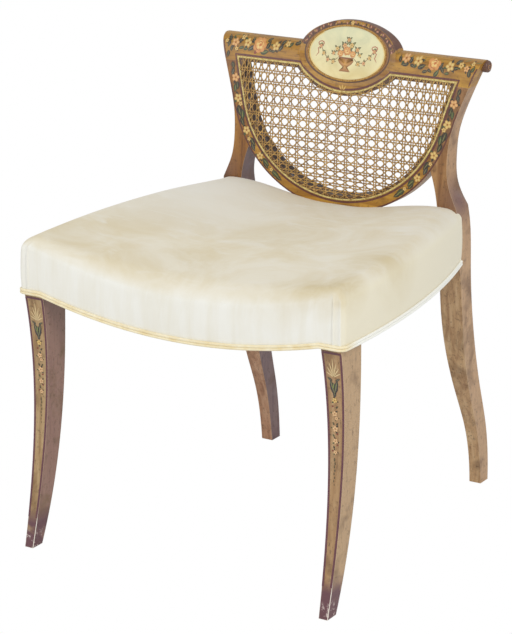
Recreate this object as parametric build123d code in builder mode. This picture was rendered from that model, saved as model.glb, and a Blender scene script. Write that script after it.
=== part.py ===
"""Painted side chair with a caned half-round back, sabre legs and a stuffed saddle seat.

Millimetres.  +X is the right-hand side seen from the front, -Y is the front, +Z is up,
and the origin is on the floor under the middle of the chair.
"""
from build123d import *
import os
from math import atan2, ceil, cos, degrees, hypot, pi, sin, sqrt

os.makedirs("parts", exist_ok=True)

# ---------------------------------------------------------------- stance
DEPTH = 570.0                 # front toes to rear heels
RAIL_UNDERSIDE = 362.0        # floor to the underside of the side and rear rails
RAIL_HEIGHT = 44.0
RAIL_THICKNESS = 22.0
REAR_RAIL_SET = 37.0          # rear rail's outer face behind the upright back
SIDE_REACH = 16.0             # the seat's sides end this far behind it
FRONT_DIP = 27.5              # how far the front rail sweeps down at its middle
REAR_DIP = 14.0               # how far the rear rail's top dips at its middle
BACK_RISE = 79.0              # rail underside to where the back stands upright
HOOP_CLEARANCE = 8.0          # hoop's lowest point above the rails
CREST_RISE = 15.7             # hoop centre to the joint under the crest rail

# ---------------------------------------------------------------- front legs
LEG_OUTER_X = 245.5
LEG_TOP_WIDTH = 30.0
LEG_FOOT_INSET = 4.3          # outer face leans in by this at the floor
LEG_FOOT_WIDTH = 13.7
LEG_TOP_DEPTH = 52.5
LEG_WAIST_DEPTH = 38.5
LEG_SHIN_DEPTH = 33.5
LEG_FOOT_DEPTH = 22.5
TOE_REACH = 20.8              # toe ahead of the leg's upper front face
WAIST_SET_BACK = 13.2
SHIN_SET_BACK = 2.0
WAIST_SHARE = 0.60            # heights of waist and shin as shares of the visible leg
SHIN_SHARE = 0.29

# ---------------------------------------------------------------- rear stiles
STILE_OUTER_X = 190.5
STILE_SEAT_WIDTH = 30.0
STILE_THIGH_WIDTH = 35.0
STILE_SHIN_WIDTH = 25.7
STILE_FOOT_INSET = 1.9
STILE_FOOT_WIDTH = 18.6
HEEL_REACH = 129.2            # heel behind the upright face of the back
HEEL_SWEEP = 106.0            # front edge of the foot behind that face
ANKLE_SWEEP = 88.0
SHIN_SWEEP = 60.2
CALF_SWEEP = 35.4
THIGH_SWEEP = 18.0
ANKLE_SHARE = 0.20            # heights as shares of the height of the upright point
REAR_SHIN_SHARE = 0.35
CALF_SHARE = 0.55
THIGH_SHARE = 0.785
ANKLE_DEPTH = 29.6
REAR_SHIN_DEPTH = 34.0
CALF_DEPTH = 33.0
THIGH_DEPTH = 34.2
KNEE_DEPTH = 43.0             # deepest just under the seat's top
NECK_DEPTH = 35.0             # post above the knee
POST_DEPTH = 30.0
POST_TOP_DEPTH = 24.0
KNEE_DROP = 17.0              # knee below the upright point
NECK_RISE = 9.0
KNEE_TAPER = 0.45             # slope of the post's outer face where it starts to narrow
POST_FOOT_RISE = 35.0         # where that narrowing ends, above the upright point
POST_FOOT_SWELL = 3.0         # wider there than at the waist
WAIST_WIDTH = 25.0            # post at its narrowest, beside the hoop joint
THIGH_WIDTH_SHARE = 0.71      # heights of the stile's widths as shares of the upright point's
SHIN_WIDTH_SHARE = 0.36
STILE_TOP_WIDTH = 28.0

# ---------------------------------------------------------------- hoop, crest and tablet
BACK_RADIUS = 850.0           # the back leans away on this arc, seen from the side
HOOP_INNER_R = 158.2
HOOP_WIDTH = 23.1
HOOP_DEPTH = 25.0
HOOP_JOINT_INSET = 9.9        # butt joint inside the opening's largest half width
SIDE_LEAVE_INSET = 5.5        # where the opening leaves the circle
OPENING_FLARE = 10.8          # opening half width at the crest, beyond the circle
TABLET_SHOULDER = 75.9        # half width of the round apron under the oval
APRON_DROP = 31.2             # apron below the crest's straight lower edge
CREST_END_FLARE = 13.0
CREST_HEIGHT = 36.0
SCROLL_RADIUS = 9.0
SCROLL_THROAT = 14.0          # front face bends back this far ahead of the scroll's centre
SCROLL_LIP = 3.0              # and this far below its top
SCROLL_SET_BACK = 29.2        # scroll centre behind the crest's lower front edge
TABLET_HALF_WIDTH = 77.2
TABLET_HALF_HEIGHT = 44.0
TABLET_CENTRE_RISE = 27.2     # oval centre above the crest joint
TABLET_LEAN = 26.4            # top of the tablet behind the crest's lower front edge
TABLET_SET = 0.5              # its face behind the back's, clear of the cane
TABLET_ROOT = 6.0             # its rear meets the scroll this far behind the scroll's centre
TABLET_EDGE = 9.0             # thickness of the tablet at its top
MEDALLION_HALF_WIDTH = 60.8
MEDALLION_HALF_HEIGHT = 35.6
MEDALLION_RECESS = 3.0
BEAD_WIDTH = 2.6
BEAD_PROUD = 1.2

# ---------------------------------------------------------------- cane
CANE_COLUMN_PITCH = 16.4      # along the middle; columns and rows close up towards the rim
CANE_ROW_PITCH = 15.4
CANE_CLOSING = 27.0           # as on a circle this much wider than the opening
CANE_CENTRE_X = -3.0          # the weave was started this far off the middle
CANE_TOP_ROW_RISE = 5.5       # first row above the hoop's centre
CANE_WIDTH = 1.9
CANE_THICKNESS = 0.6
CANE_PAIR_PITCH = 3.4
CANE_LAP = 6.0                # strands lie this far over the wood
CANE_STRAND_GAP = 0.05
CANE_SPANS = 4                # straight spans in the height of the back
CANE_SPAN_SAG = 0.45          # keeps their middles off the curved wood
BINDING_WIDTH = 3.0
BINDING_LAP = 4.4             # binding's inner edge outside the opening
BINDING_THICKNESS = 0.8

# ---------------------------------------------------------------- joinery
TENON_THICKNESS = 9.0
TENON_HEIGHT = 28.0
FRONT_TENON_LENGTH = 18.0
SIDE_TENON_LENGTH = 22.0
REAR_TENON_LENGTH = 12.0
TENON_ROOT = 6.0              # a tenon is drawn this far into its own rail
JOINT_CLEARANCE = 0.1
TENON_SHOULDER = 8.0          # wood outside the side rail's tenon in the stile
CREST_DOWEL_RADIUS = 4.0
CREST_DOWEL_HALF = 14.0
HOOP_DOWEL_RADIUS = 3.0
HOOP_DOWEL_HALF = 12.0
HOOP_DOWEL_DROP = 7.0         # side dowels below the middle of their joint
BLOCK_LEG = 46.0              # sides of the triangular corner blocks
BLOCK_HEIGHT = 20.0
BLOCK_LIFT = 3.0
SCREW_RADIUS = 2.0
SCREW_HEAD_RADIUS = 4.0
SCREW_HEAD_HEIGHT = 2.5
SCREW_BITE = 13.0             # depth in the rail
SCREW_GRIP = 12.0             # wood of the block under the head
SCREW_SHARE = 0.4             # along the block's side, from the leg
LOW_SCREW_RISE = 5.4          # lower screw above the block's underside

# ---------------------------------------------------------------- upholstery
COVER_STAND = 3.0             # outer face of the cover ahead of the legs
COVER_SIDE_STAND = 3.8
COVER_THICKNESS = 2.5
SIDE_BOW = 18.5               # the sides swell out by this in plan
COVER_REAR_X = 192.6
RAIL_INSET = 4.0              # rail faces behind the cover's face
STUFFING_GAP = 0.3
WEB_WIDTH = 50.0
WEB_THICKNESS = 1.5
WEB_GAP = 0.1
WEB_SPACING = 105.0
WEB_TACK_INSET = 4.0          # webbing ends this far inside the rails' outer faces
CLOTH_THICKNESS = 1.0
WELT_HEIGHT = 7.4             # double cord, drawn as a flat run
WELT_THICKNESS = 3.9
WELT_DROP = 1.5               # below the rails' lower edge
WELT_GAP = 0.05
DUST_COVER_THICKNESS = 0.8
DUST_COVER_MARGIN = 8.0
DUST_COVER_SAG = 0.5
DUST_COVER_DROP = 0.95        # tacked below the rails
DIP_STEPS = 6                 # straight steps in each dipped line of the soft layers
SHOULDER_STEPS = 2
WEB_MARGIN = 8.0              # webbing and hessian stop this far inside the cover
REAR_EDGE_SET = 5.5           # seat's rear top edge ahead of the upright back
CENTRE_RISE = 24.0            # crown of the seat above the rails, along the middle
EDGE_RISE = 38.0              # the same along the raised sides
REAR_RISE = 10.0              # the same beside the stiles, behind the hoop

# ---------------------------------------------------------------- derived places
RAIL_TOP = RAIL_UNDERSIDE + RAIL_HEIGHT
SPRING_Z = RAIL_UNDERSIDE + BACK_RISE
HOOP_OUTER_R = HOOP_INNER_R + HOOP_WIDTH
HOOP_Z = RAIL_TOP + HOOP_CLEARANCE + HOOP_OUTER_R
CREST_Z = HOOP_Z + CREST_RISE
LEG_FACE_Y = -DEPTH / 2 + TOE_REACH
LEG_REAR_Y = LEG_FACE_Y + LEG_TOP_DEPTH
LEG_INNER_X = LEG_OUTER_X - LEG_TOP_WIDTH
BACK_Y = DEPTH / 2 - HEEL_REACH
STILE_INNER_X = STILE_OUTER_X - STILE_SEAT_WIDTH
JOINT_X = HOOP_INNER_R - HOOP_JOINT_INSET
LEAVE_X = HOOP_INNER_R - SIDE_LEAVE_INSET
OPENING_TOP_X = HOOP_INNER_R + OPENING_FLARE
STILE_TOP_X = OPENING_TOP_X + STILE_TOP_WIDTH
COVER_FRONT_X = LEG_OUTER_X + COVER_SIDE_STAND
COVER_FRONT_Y = LEG_FACE_Y - COVER_STAND
TABLET_Z = CREST_Z + TABLET_CENTRE_RISE
BLANK = 2 * DEPTH             # longer than any blank that is sawn through
SAW_MARGIN = 5.0              # a profile runs this far past the piece that it trims


# ---------------------------------------------------------------- shared curves
def back_y(z, depth=0.0):
    """Y of the back at height z, this far behind its front face."""
    return BACK_Y + BACK_RADIUS - sqrt((BACK_RADIUS - depth) ** 2 - (z - SPRING_Z) ** 2)


def circle_z(x, radius):
    """Height of the lower half of a circle about the hoop's centre."""
    return HOOP_Z - sqrt(radius ** 2 - x ** 2)


SIDE_REAR_Y = BACK_Y + SIDE_REACH
SIDE_CHORD = hypot(COVER_FRONT_X - COVER_REAR_X, SIDE_REAR_Y - COVER_FRONT_Y)
SIDE_RADIUS = ((SIDE_CHORD / 2) ** 2 + SIDE_BOW ** 2) / (2 * SIDE_BOW)
SIDE_NORMAL_X = (SIDE_REAR_Y - COVER_FRONT_Y) / SIDE_CHORD
SIDE_NORMAL_Y = (COVER_FRONT_X - COVER_REAR_X) / SIDE_CHORD
SIDE_CENTRE_X = (COVER_FRONT_X + COVER_REAR_X) / 2 - SIDE_NORMAL_X * (SIDE_RADIUS - SIDE_BOW)
SIDE_CENTRE_Y = (COVER_FRONT_Y + SIDE_REAR_Y) / 2 - SIDE_NORMAL_Y * (SIDE_RADIUS - SIDE_BOW)


def side_x(y, inset=0.0):
    """Half width of the seat at y, this far inside the cover's bowed face."""
    return SIDE_CENTRE_X + sqrt((SIDE_RADIUS - inset) ** 2 - (y - SIDE_CENTRE_Y) ** 2)


RAIL_FRONT_Y = COVER_FRONT_Y + RAIL_INSET
RAIL_REAR_Y = BACK_Y + REAR_RAIL_SET
REAR_EDGE_Y = BACK_Y - REAR_EDGE_SET
FRONT_WEB_Y = RAIL_FRONT_Y + WEB_TACK_INSET
REAR_WEB_Y = RAIL_REAR_Y - WEB_TACK_INSET
HESSIAN_LIFT = 3 * WEB_GAP + 2 * WEB_THICKNESS


def save(builder, name):
    builder.part.label = name
    export_step(builder.part, f"parts/{name}.step")


def mirrored(builder):
    with BuildPart() as twin:
        mirror(builder.part, about=Plane.YZ)
    return twin


# ---------------------------------------------------------------- the opening that is caned
with BuildSketch() as back_opening:
    with BuildLine():
        leave_z = circle_z(LEAVE_X, HOOP_INNER_R)
        ThreePointArc((-LEAVE_X, leave_z), (0, HOOP_Z - HOOP_INNER_R), (LEAVE_X, leave_z))
        TangentArc((LEAVE_X, leave_z), (OPENING_TOP_X, CREST_Z), tangent=(HOOP_Z - leave_z, LEAVE_X))
        Line((OPENING_TOP_X, CREST_Z), (TABLET_SHOULDER, CREST_Z))
        ThreePointArc((TABLET_SHOULDER, CREST_Z), (0, CREST_Z - APRON_DROP), (-TABLET_SHOULDER, CREST_Z))
        Line((-TABLET_SHOULDER, CREST_Z), (-OPENING_TOP_X, CREST_Z))
        TangentArc((-LEAVE_X, leave_z), (-OPENING_TOP_X, CREST_Z), tangent=(leave_z - HOOP_Z, LEAVE_X))
    make_face()


def back_layer(front, rear, low, high):
    """Side view of what lies between two depths of the back's curve and two heights."""
    middle = (low + high) / 2
    with BuildSketch(Plane.YZ) as layer:
        with BuildLine():
            ThreePointArc((back_y(low, front), low), (back_y(middle, front), middle),
                          (back_y(high, front), high))
            Line((back_y(high, front), high), (back_y(high, rear), high))
            ThreePointArc((back_y(high, rear), high), (back_y(middle, rear), middle),
                          (back_y(low, rear), low))
            Line((back_y(low, rear), low), (back_y(low, front), low))
        make_face()
    return layer.sketch


def saw_through(outline):
    """Start a piece from its outline, cut through a thick blank."""
    extrude(outline, amount=BLANK, both=True)


def saw_across(profile):
    """Keep what a second outline, seen from another side, leaves of the piece."""
    extrude(profile, amount=BLANK, both=True, mode=Mode.INTERSECT)


# ---------------------------------------------------------------- tenons and dowels
TENON_Z = RAIL_UNDERSIDE + RAIL_HEIGHT / 2
FRONT_TENON_Y = RAIL_FRONT_Y + RAIL_THICKNESS / 2
SIDE_FRONT_TENON_X = side_x(LEG_REAR_Y, RAIL_INSET + RAIL_THICKNESS / 2)
SIDE_REAR_TENON_X = STILE_OUTER_X - TENON_SHOULDER - TENON_THICKNESS / 2
REAR_TENON_Y = RAIL_REAR_Y - RAIL_THICKNESS / 2


def front_tenon(grow=0.0, side=1):
    length = FRONT_TENON_LENGTH + TENON_ROOT
    with Locations((side * (LEG_INNER_X - TENON_ROOT + length / 2), FRONT_TENON_Y, TENON_Z)):
        Box(length + 2 * grow, TENON_THICKNESS + 2 * grow, TENON_HEIGHT + 2 * grow,
            mode=Mode.SUBTRACT if grow else Mode.ADD)


def side_front_tenon(grow=0.0):
    length = SIDE_TENON_LENGTH + TENON_ROOT
    with Locations((SIDE_FRONT_TENON_X, LEG_REAR_Y + TENON_ROOT - length / 2, TENON_Z)):
        Box(TENON_THICKNESS + 2 * grow, length + 2 * grow, TENON_HEIGHT + 2 * grow,
            mode=Mode.SUBTRACT if grow else Mode.ADD)


# ---------------------------------------------------------------- front legs
def leg_z(share):
    return share * RAIL_UNDERSIDE


with BuildPart() as front_leg_right:
    with BuildSketch(Plane.XZ):
        with BuildLine():
            foot_x = LEG_OUTER_X - LEG_FOOT_INSET
            Polyline((foot_x - LEG_FOOT_WIDTH, 0), (foot_x, 0), (LEG_OUTER_X, RAIL_UNDERSIDE),
                     (LEG_OUTER_X, RAIL_TOP), (LEG_INNER_X, RAIL_TOP), (LEG_INNER_X, RAIL_UNDERSIDE),
                     close=True)
        make_face()
    extrude(amount=BLANK, both=True)
    with BuildSketch(Plane.YZ):
        with BuildLine():
            waist_y = LEG_FACE_Y + WAIST_SET_BACK
            shin_y = LEG_FACE_Y + SHIN_SET_BACK
            toe_y = LEG_FACE_Y - TOE_REACH
            Spline((LEG_FACE_Y, RAIL_UNDERSIDE), (waist_y, leg_z(WAIST_SHARE)),
                   (shin_y, leg_z(SHIN_SHARE)), (toe_y, 0))
            Line((toe_y, 0), (toe_y + LEG_FOOT_DEPTH, 0))
            Spline((toe_y + LEG_FOOT_DEPTH, 0), (shin_y + LEG_SHIN_DEPTH, leg_z(SHIN_SHARE)),
                   (waist_y + LEG_WAIST_DEPTH, leg_z(WAIST_SHARE)), (LEG_REAR_Y, RAIL_UNDERSIDE))
            Polyline((LEG_REAR_Y, RAIL_UNDERSIDE), (LEG_REAR_Y, RAIL_TOP), (LEG_FACE_Y, RAIL_TOP),
                     (LEG_FACE_Y, RAIL_UNDERSIDE))
        make_face()
    extrude(amount=BLANK, both=True, mode=Mode.INTERSECT)
    front_tenon(JOINT_CLEARANCE)
    side_front_tenon(JOINT_CLEARANCE)

front_leg_left = mirrored(front_leg_right)

# ---------------------------------------------------------------- rear stiles: leg and post in one
KNEE_Z = SPRING_Z - KNEE_DROP
JOINT_LOW_Z = circle_z(JOINT_X, HOOP_OUTER_R)
WAIST_Z = (JOINT_LOW_Z + HOOP_Z - sqrt(HOOP_INNER_R ** 2 - JOINT_X ** 2)) / 2
POST_WAIST_X = JOINT_X + WAIST_WIDTH
THIGH_WIDTH_Z = THIGH_WIDTH_SHARE * SPRING_Z
SHIN_WIDTH_Z = SHIN_WIDTH_SHARE * SPRING_Z
NECK_Z = SPRING_Z + NECK_RISE
FACE_SLOPE = (CREST_Z - SPRING_Z) / BACK_RADIUS
HEAD_FLARE = CREST_END_FLARE / CREST_HEIGHT


def stile_outline():
    """Front view: straight leg, waisted post and a head that flares to the crest."""
    with BuildSketch(Plane.XZ) as outline:
        with BuildLine():
            foot_outer = STILE_OUTER_X - STILE_FOOT_INSET
            Line((foot_outer, 0), (STILE_OUTER_X, SPRING_Z))
            Spline((STILE_OUTER_X, SPRING_Z), (POST_WAIST_X + POST_FOOT_SWELL, SPRING_Z + POST_FOOT_RISE),
                   (POST_WAIST_X, WAIST_Z), (STILE_TOP_X, CREST_Z), tangents=((-KNEE_TAPER, 1), (HEAD_FLARE, 1)))
            Polyline((STILE_TOP_X, CREST_Z), (JOINT_X, CREST_Z), (JOINT_X, JOINT_LOW_Z))
            Spline((JOINT_X, JOINT_LOW_Z), (STILE_INNER_X, SPRING_Z),
                   (STILE_OUTER_X - STILE_THIGH_WIDTH, THIGH_WIDTH_Z),
                   (STILE_OUTER_X - STILE_SHIN_WIDTH, SHIN_WIDTH_Z), (foot_outer - STILE_FOOT_WIDTH, 0))
            Line((foot_outer - STILE_FOOT_WIDTH, 0), (foot_outer, 0))
        make_face()
        add(back_opening.sketch, mode=Mode.SUBTRACT)
    return outline.sketch


def stile_profile():
    """Side view: sabre leg below, upright at the seat, leaning back above."""
    stations = (
        (0.0, HEEL_SWEEP, HEEL_REACH - HEEL_SWEEP),
        (ANKLE_SHARE, ANKLE_SWEEP, ANKLE_DEPTH),
        (REAR_SHIN_SHARE, SHIN_SWEEP, REAR_SHIN_DEPTH),
        (CALF_SHARE, CALF_SWEEP, CALF_DEPTH),
        (THIGH_SHARE, THIGH_SWEEP, THIGH_DEPTH),
    )
    front = [(BACK_Y + sweep, share * SPRING_Z) for share, sweep, _ in stations]
    rear = [(BACK_Y + sweep + depth, share * SPRING_Z) for share, sweep, depth in stations]
    middle_z = (SPRING_Z + CREST_Z) / 2
    post = [(back_y(KNEE_Z, KNEE_DEPTH), KNEE_Z), (back_y(NECK_Z, NECK_DEPTH), NECK_Z),
            (back_y(WAIST_Z, POST_DEPTH), WAIST_Z), (back_y(CREST_Z, POST_TOP_DEPTH), CREST_Z)]
    with BuildSketch(Plane.YZ) as profile:
        with BuildLine():
            Spline(*front, (BACK_Y, SPRING_Z), tangents=((-0.1, 1), (0, 1)))
            ThreePointArc((BACK_Y, SPRING_Z), (back_y(middle_z), middle_z), (back_y(CREST_Z), CREST_Z))
            Line((back_y(CREST_Z), CREST_Z), post[-1])
            Spline(*rear, *post, tangents=((0, 1), (FACE_SLOPE, 1)))
            Line(rear[0], front[0])
        make_face()
    return profile.sketch


CREST_DOWEL_X = (OPENING_TOP_X + STILE_TOP_X) / 2
CREST_DOWEL_Y = back_y(CREST_Z, POST_TOP_DEPTH / 2)
HOOP_DOWEL_Z = WAIST_Z - HOOP_DOWEL_DROP
HOOP_FOOT_Z = HOOP_Z - HOOP_INNER_R - HOOP_WIDTH / 2


def crest_dowel(grow=0.0, side=1):
    with Locations((side * CREST_DOWEL_X, CREST_DOWEL_Y, CREST_Z)):
        Cylinder(CREST_DOWEL_RADIUS + grow, 2 * (CREST_DOWEL_HALF + grow),
                 mode=Mode.SUBTRACT if grow else Mode.ADD)


def hoop_dowel(x, z, grow=0.0):
    with Locations((x, back_y(z, HOOP_DEPTH / 2), z)):
        Cylinder(HOOP_DOWEL_RADIUS + grow, 2 * (HOOP_DOWEL_HALF + grow), rotation=(0, 90, 0),
                 mode=Mode.SUBTRACT if grow else Mode.ADD)


def side_rear_tenon(grow=0.0):
    length = SIDE_TENON_LENGTH + 2 * TENON_ROOT
    with Locations((SIDE_REAR_TENON_X, BACK_Y + SIDE_TENON_LENGTH + TENON_ROOT - length / 2, TENON_Z)):
        Box(TENON_THICKNESS + 2 * grow, length + 2 * grow, TENON_HEIGHT + 2 * grow,
            mode=Mode.SUBTRACT if grow else Mode.ADD)


def rear_tenon(grow=0.0, side=1):
    length = REAR_TENON_LENGTH + TENON_ROOT
    with Locations((side * (STILE_INNER_X + REAR_TENON_LENGTH - length / 2), REAR_TENON_Y, TENON_Z)):
        Box(length + 2 * grow, TENON_THICKNESS + 2 * grow, TENON_HEIGHT + 2 * grow,
            mode=Mode.SUBTRACT if grow else Mode.ADD)


with BuildPart() as stile_blank:
    saw_through(stile_outline())
    saw_across(stile_profile())

with BuildPart() as rear_stile_right:
    add(stile_blank.part)
    crest_dowel(JOINT_CLEARANCE)
    hoop_dowel(JOINT_X, HOOP_DOWEL_Z, JOINT_CLEARANCE)
    side_rear_tenon(JOINT_CLEARANCE)
    rear_tenon(JOINT_CLEARANCE)

rear_stile_left = mirrored(rear_stile_right)

# ---------------------------------------------------------------- hoop, in two bent halves
with BuildPart() as hoop_rail_right:
    with BuildSketch(Plane.XZ):
        with Locations((0, HOOP_Z)):
            Circle(HOOP_OUTER_R)
        add(back_opening.sketch, mode=Mode.SUBTRACT)
        with Locations((JOINT_X / 2, HOOP_Z - HOOP_OUTER_R / 2)):
            Rectangle(JOINT_X, HOOP_OUTER_R, mode=Mode.INTERSECT)
        with Locations((JOINT_X / 2, HOOP_Z)):
            Rectangle(JOINT_X, 2 * APRON_DROP, mode=Mode.SUBTRACT)
    extrude(amount=BLANK, both=True)
    saw_across(back_layer(0, HOOP_DEPTH, HOOP_Z - HOOP_OUTER_R - SAW_MARGIN, CREST_Z))
    hoop_dowel(JOINT_X, HOOP_DOWEL_Z, JOINT_CLEARANCE)
    hoop_dowel(0, HOOP_FOOT_Z, JOINT_CLEARANCE)

hoop_rail_left = mirrored(hoop_rail_right)

with BuildPart() as hoop_dowels:
    hoop_dowel(JOINT_X, HOOP_DOWEL_Z)
    hoop_dowel(0, HOOP_FOOT_Z)
    hoop_dowel(-JOINT_X, HOOP_DOWEL_Z)

with BuildPart() as crest_dowels:
    crest_dowel()
    crest_dowel(side=-1)

# ---------------------------------------------------------------- crest rail with scrolled top
CREST_TOP_Z = CREST_Z + CREST_HEIGHT
SCROLL_Y = back_y(CREST_Z) + SCROLL_SET_BACK
SCROLL_Z = CREST_TOP_Z - SCROLL_RADIUS
APRON_Z = CREST_Z - APRON_DROP
TABLET_TOP_Z = TABLET_Z + TABLET_HALF_HEIGHT


APRON_CUT_Z = APRON_Z - SAW_MARGIN
APRON_MIDDLE_Z = (APRON_CUT_Z + CREST_Z) / 2
TABLET_CUT_Z = TABLET_TOP_Z + 1.0
TABLET_TOP_Y = back_y(CREST_Z) + TABLET_LEAN
TABLET_ROOT_DEPTH = POST_TOP_DEPTH / 2


def back_arc(offset):
    """Side view of the back's curve from under the apron to the crest joint."""
    return [(back_y(z) + offset, z) for z in (APRON_CUT_Z, APRON_MIDDLE_Z, CREST_Z)]


def tablet_face(offset=0.0):
    """Side view of the tablet's face, from under the apron to above its top."""
    set_back = TABLET_SET + offset
    ThreePointArc((back_y(APRON_CUT_Z) + set_back, APRON_CUT_Z), (back_y(CREST_Z) + set_back, CREST_Z),
                  (TABLET_TOP_Y + set_back, TABLET_CUT_Z))


def tablet_layer(front, rear):
    """Side view of a layer of the tablet between two offsets of its face."""
    with BuildSketch(Plane.YZ) as layer:
        with BuildLine():
            tablet_face(front)
            top_y = TABLET_TOP_Y + TABLET_SET
            Line((top_y + front, TABLET_CUT_Z), (top_y + rear, TABLET_CUT_Z))
            tablet_face(rear)
            low_y = back_y(APRON_CUT_Z) + TABLET_SET
            Line((low_y + rear, APRON_CUT_Z), (low_y + front, APRON_CUT_Z))
        make_face()
    return layer.sketch


with BuildPart() as tablet_blank:
    with BuildSketch(Plane.XZ):
        with Locations((0, TABLET_Z)):
            Ellipse(TABLET_HALF_WIDTH, TABLET_HALF_HEIGHT)
    extrude(amount=BLANK, both=True)
    with BuildSketch(Plane.YZ):
        with BuildLine():
            tablet_face()
            Polyline((TABLET_TOP_Y + TABLET_SET, TABLET_CUT_Z), (TABLET_TOP_Y + TABLET_EDGE, TABLET_CUT_Z),
                     (SCROLL_Y + TABLET_ROOT, SCROLL_Z), (back_y(CREST_Z, TABLET_ROOT_DEPTH), CREST_Z),
                     (back_y(APRON_CUT_Z, TABLET_ROOT_DEPTH), APRON_CUT_Z),
                     (back_y(APRON_CUT_Z) + TABLET_SET, APRON_CUT_Z))
        make_face()
    extrude(amount=BLANK, both=True, mode=Mode.INTERSECT)

with BuildPart() as tablet_clearing:
    with BuildSketch(Plane.XZ):
        with Locations((0, TABLET_Z)):
            Ellipse(TABLET_HALF_WIDTH, TABLET_HALF_HEIGHT)
    extrude(amount=BLANK, both=True)
    saw_across(tablet_layer(-SCROLL_RADIUS, 0))

with BuildPart() as crest_rail:
    with BuildSketch(Plane.XZ):
        with BuildLine():
            end_x = STILE_TOP_X + CREST_END_FLARE
            ThreePointArc((-TABLET_SHOULDER, CREST_Z), (0, APRON_Z), (TABLET_SHOULDER, CREST_Z))
            Polyline((TABLET_SHOULDER, CREST_Z), (STILE_TOP_X, CREST_Z), (end_x, CREST_TOP_Z + 1),
                     (-end_x, CREST_TOP_Z + 1), (-STILE_TOP_X, CREST_Z), (-TABLET_SHOULDER, CREST_Z))
        make_face()
    extrude(amount=BLANK, both=True)
    with BuildSketch(Plane.YZ):
        with BuildLine():
            ThreePointArc(*back_arc(0.0))
            Spline((back_y(CREST_Z), CREST_Z), (SCROLL_Y - SCROLL_THROAT, CREST_TOP_Z - SCROLL_LIP),
                   (SCROLL_Y, CREST_TOP_Z), tangents=((FACE_SLOPE, 1), (1, 0)))
            ThreePointArc((SCROLL_Y, CREST_TOP_Z), (SCROLL_Y + SCROLL_RADIUS, SCROLL_Z),
                          (SCROLL_Y, SCROLL_Z - SCROLL_RADIUS))
            Line((SCROLL_Y, SCROLL_Z - SCROLL_RADIUS), (back_y(CREST_Z, POST_TOP_DEPTH), CREST_Z))
            ThreePointArc((back_y(CREST_Z, POST_TOP_DEPTH), CREST_Z),
                          (back_y(APRON_MIDDLE_Z, POST_TOP_DEPTH), APRON_MIDDLE_Z),
                          (back_y(APRON_CUT_Z, POST_TOP_DEPTH), APRON_CUT_Z))
            Line((back_y(APRON_CUT_Z, POST_TOP_DEPTH), APRON_CUT_Z), (back_y(APRON_CUT_Z), APRON_CUT_Z))
        make_face()
    extrude(amount=BLANK, both=True, mode=Mode.INTERSECT)
    add(tablet_clearing.part, mode=Mode.SUBTRACT)
    add(tablet_blank.part)
    crest_dowel(JOINT_CLEARANCE)
    crest_dowel(JOINT_CLEARANCE, side=-1)


def medallion_oval(grow=0.0):
    with BuildSketch(Plane.XZ) as oval:
        with Locations((0, TABLET_Z)):
            Ellipse(MEDALLION_HALF_WIDTH + grow, MEDALLION_HALF_HEIGHT + grow)
    return oval.sketch


with BuildPart() as medallion_recess:
    saw_through(medallion_oval(JOINT_CLEARANCE))
    saw_across(tablet_layer(-SAW_MARGIN, MEDALLION_RECESS))

with BuildPart() as medallion_panel:
    saw_through(medallion_oval())
    saw_across(tablet_layer(-BEAD_PROUD / 4, MEDALLION_RECESS))

with BuildPart() as medallion_bead:
    with BuildSketch(Plane.XZ):
        with Locations((0, TABLET_Z)):
            Ellipse(MEDALLION_HALF_WIDTH + BEAD_WIDTH, MEDALLION_HALF_HEIGHT + BEAD_WIDTH)
            Ellipse(MEDALLION_HALF_WIDTH + 2 * JOINT_CLEARANCE, MEDALLION_HALF_HEIGHT + 2 * JOINT_CLEARANCE,
                    mode=Mode.SUBTRACT)
    extrude(amount=BLANK, both=True)
    saw_across(tablet_layer(-BEAD_PROUD, 0))

with BuildPart() as crest_rail_recessed:
    add(crest_rail.part)
    add(medallion_recess.part, mode=Mode.SUBTRACT)

# ---------------------------------------------------------------- six-way cane
CANE_ROUND = HOOP_INNER_R + CANE_CLOSING
CANE_MIDDLE_Z = HOOP_Z - HOOP_INNER_R / 2
STRAND_REACH = (CANE_PAIR_PITCH + CANE_WIDTH) / 2


def closing_up(pitch, start=0.0):
    """Distances from the middle of the weave, closer together towards the rim."""
    last = int(pi / 2 * CANE_ROUND / pitch)
    return [CANE_ROUND * sin((start + step * pitch) / CANE_ROUND) for step in range(-last, last)]


def kept(places, low, high):
    """Places whose whole pair of strands crosses the opening."""
    return [place for place in places if low + STRAND_REACH < place < high - STRAND_REACH]


CANE_COLUMNS = kept([CANE_CENTRE_X + x for x in closing_up(CANE_COLUMN_PITCH)], -OPENING_TOP_X, OPENING_TOP_X)
CANE_ROWS = kept([HOOP_Z - z for z in closing_up(CANE_ROW_PITCH, -CANE_TOP_ROW_RISE)],
                 HOOP_Z - HOOP_INNER_R, CREST_Z)

# The diagonals cross halfway between the pairs, which leaves an eight-sided hole in each cell.
DIAGONAL_X = CANE_CENTRE_X + CANE_COLUMN_PITCH / 2
DIAGONAL_Z = HOOP_Z + CANE_TOP_ROW_RISE
DIAGONAL_ANGLE = degrees(atan2(CANE_ROW_PITCH, CANE_COLUMN_PITCH))
DIAGONAL_PITCH = CANE_COLUMN_PITCH * CANE_ROW_PITCH / hypot(CANE_COLUMN_PITCH, CANE_ROW_PITCH)
DIAGONALS = 2 * ceil((OPENING_TOP_X + HOOP_INNER_R) / 1.5 / DIAGONAL_PITCH) + 1

with BuildSketch() as cane_field:
    add(back_opening.sketch)
    offset(amount=CANE_LAP, kind=Kind.INTERSECTION)


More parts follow.
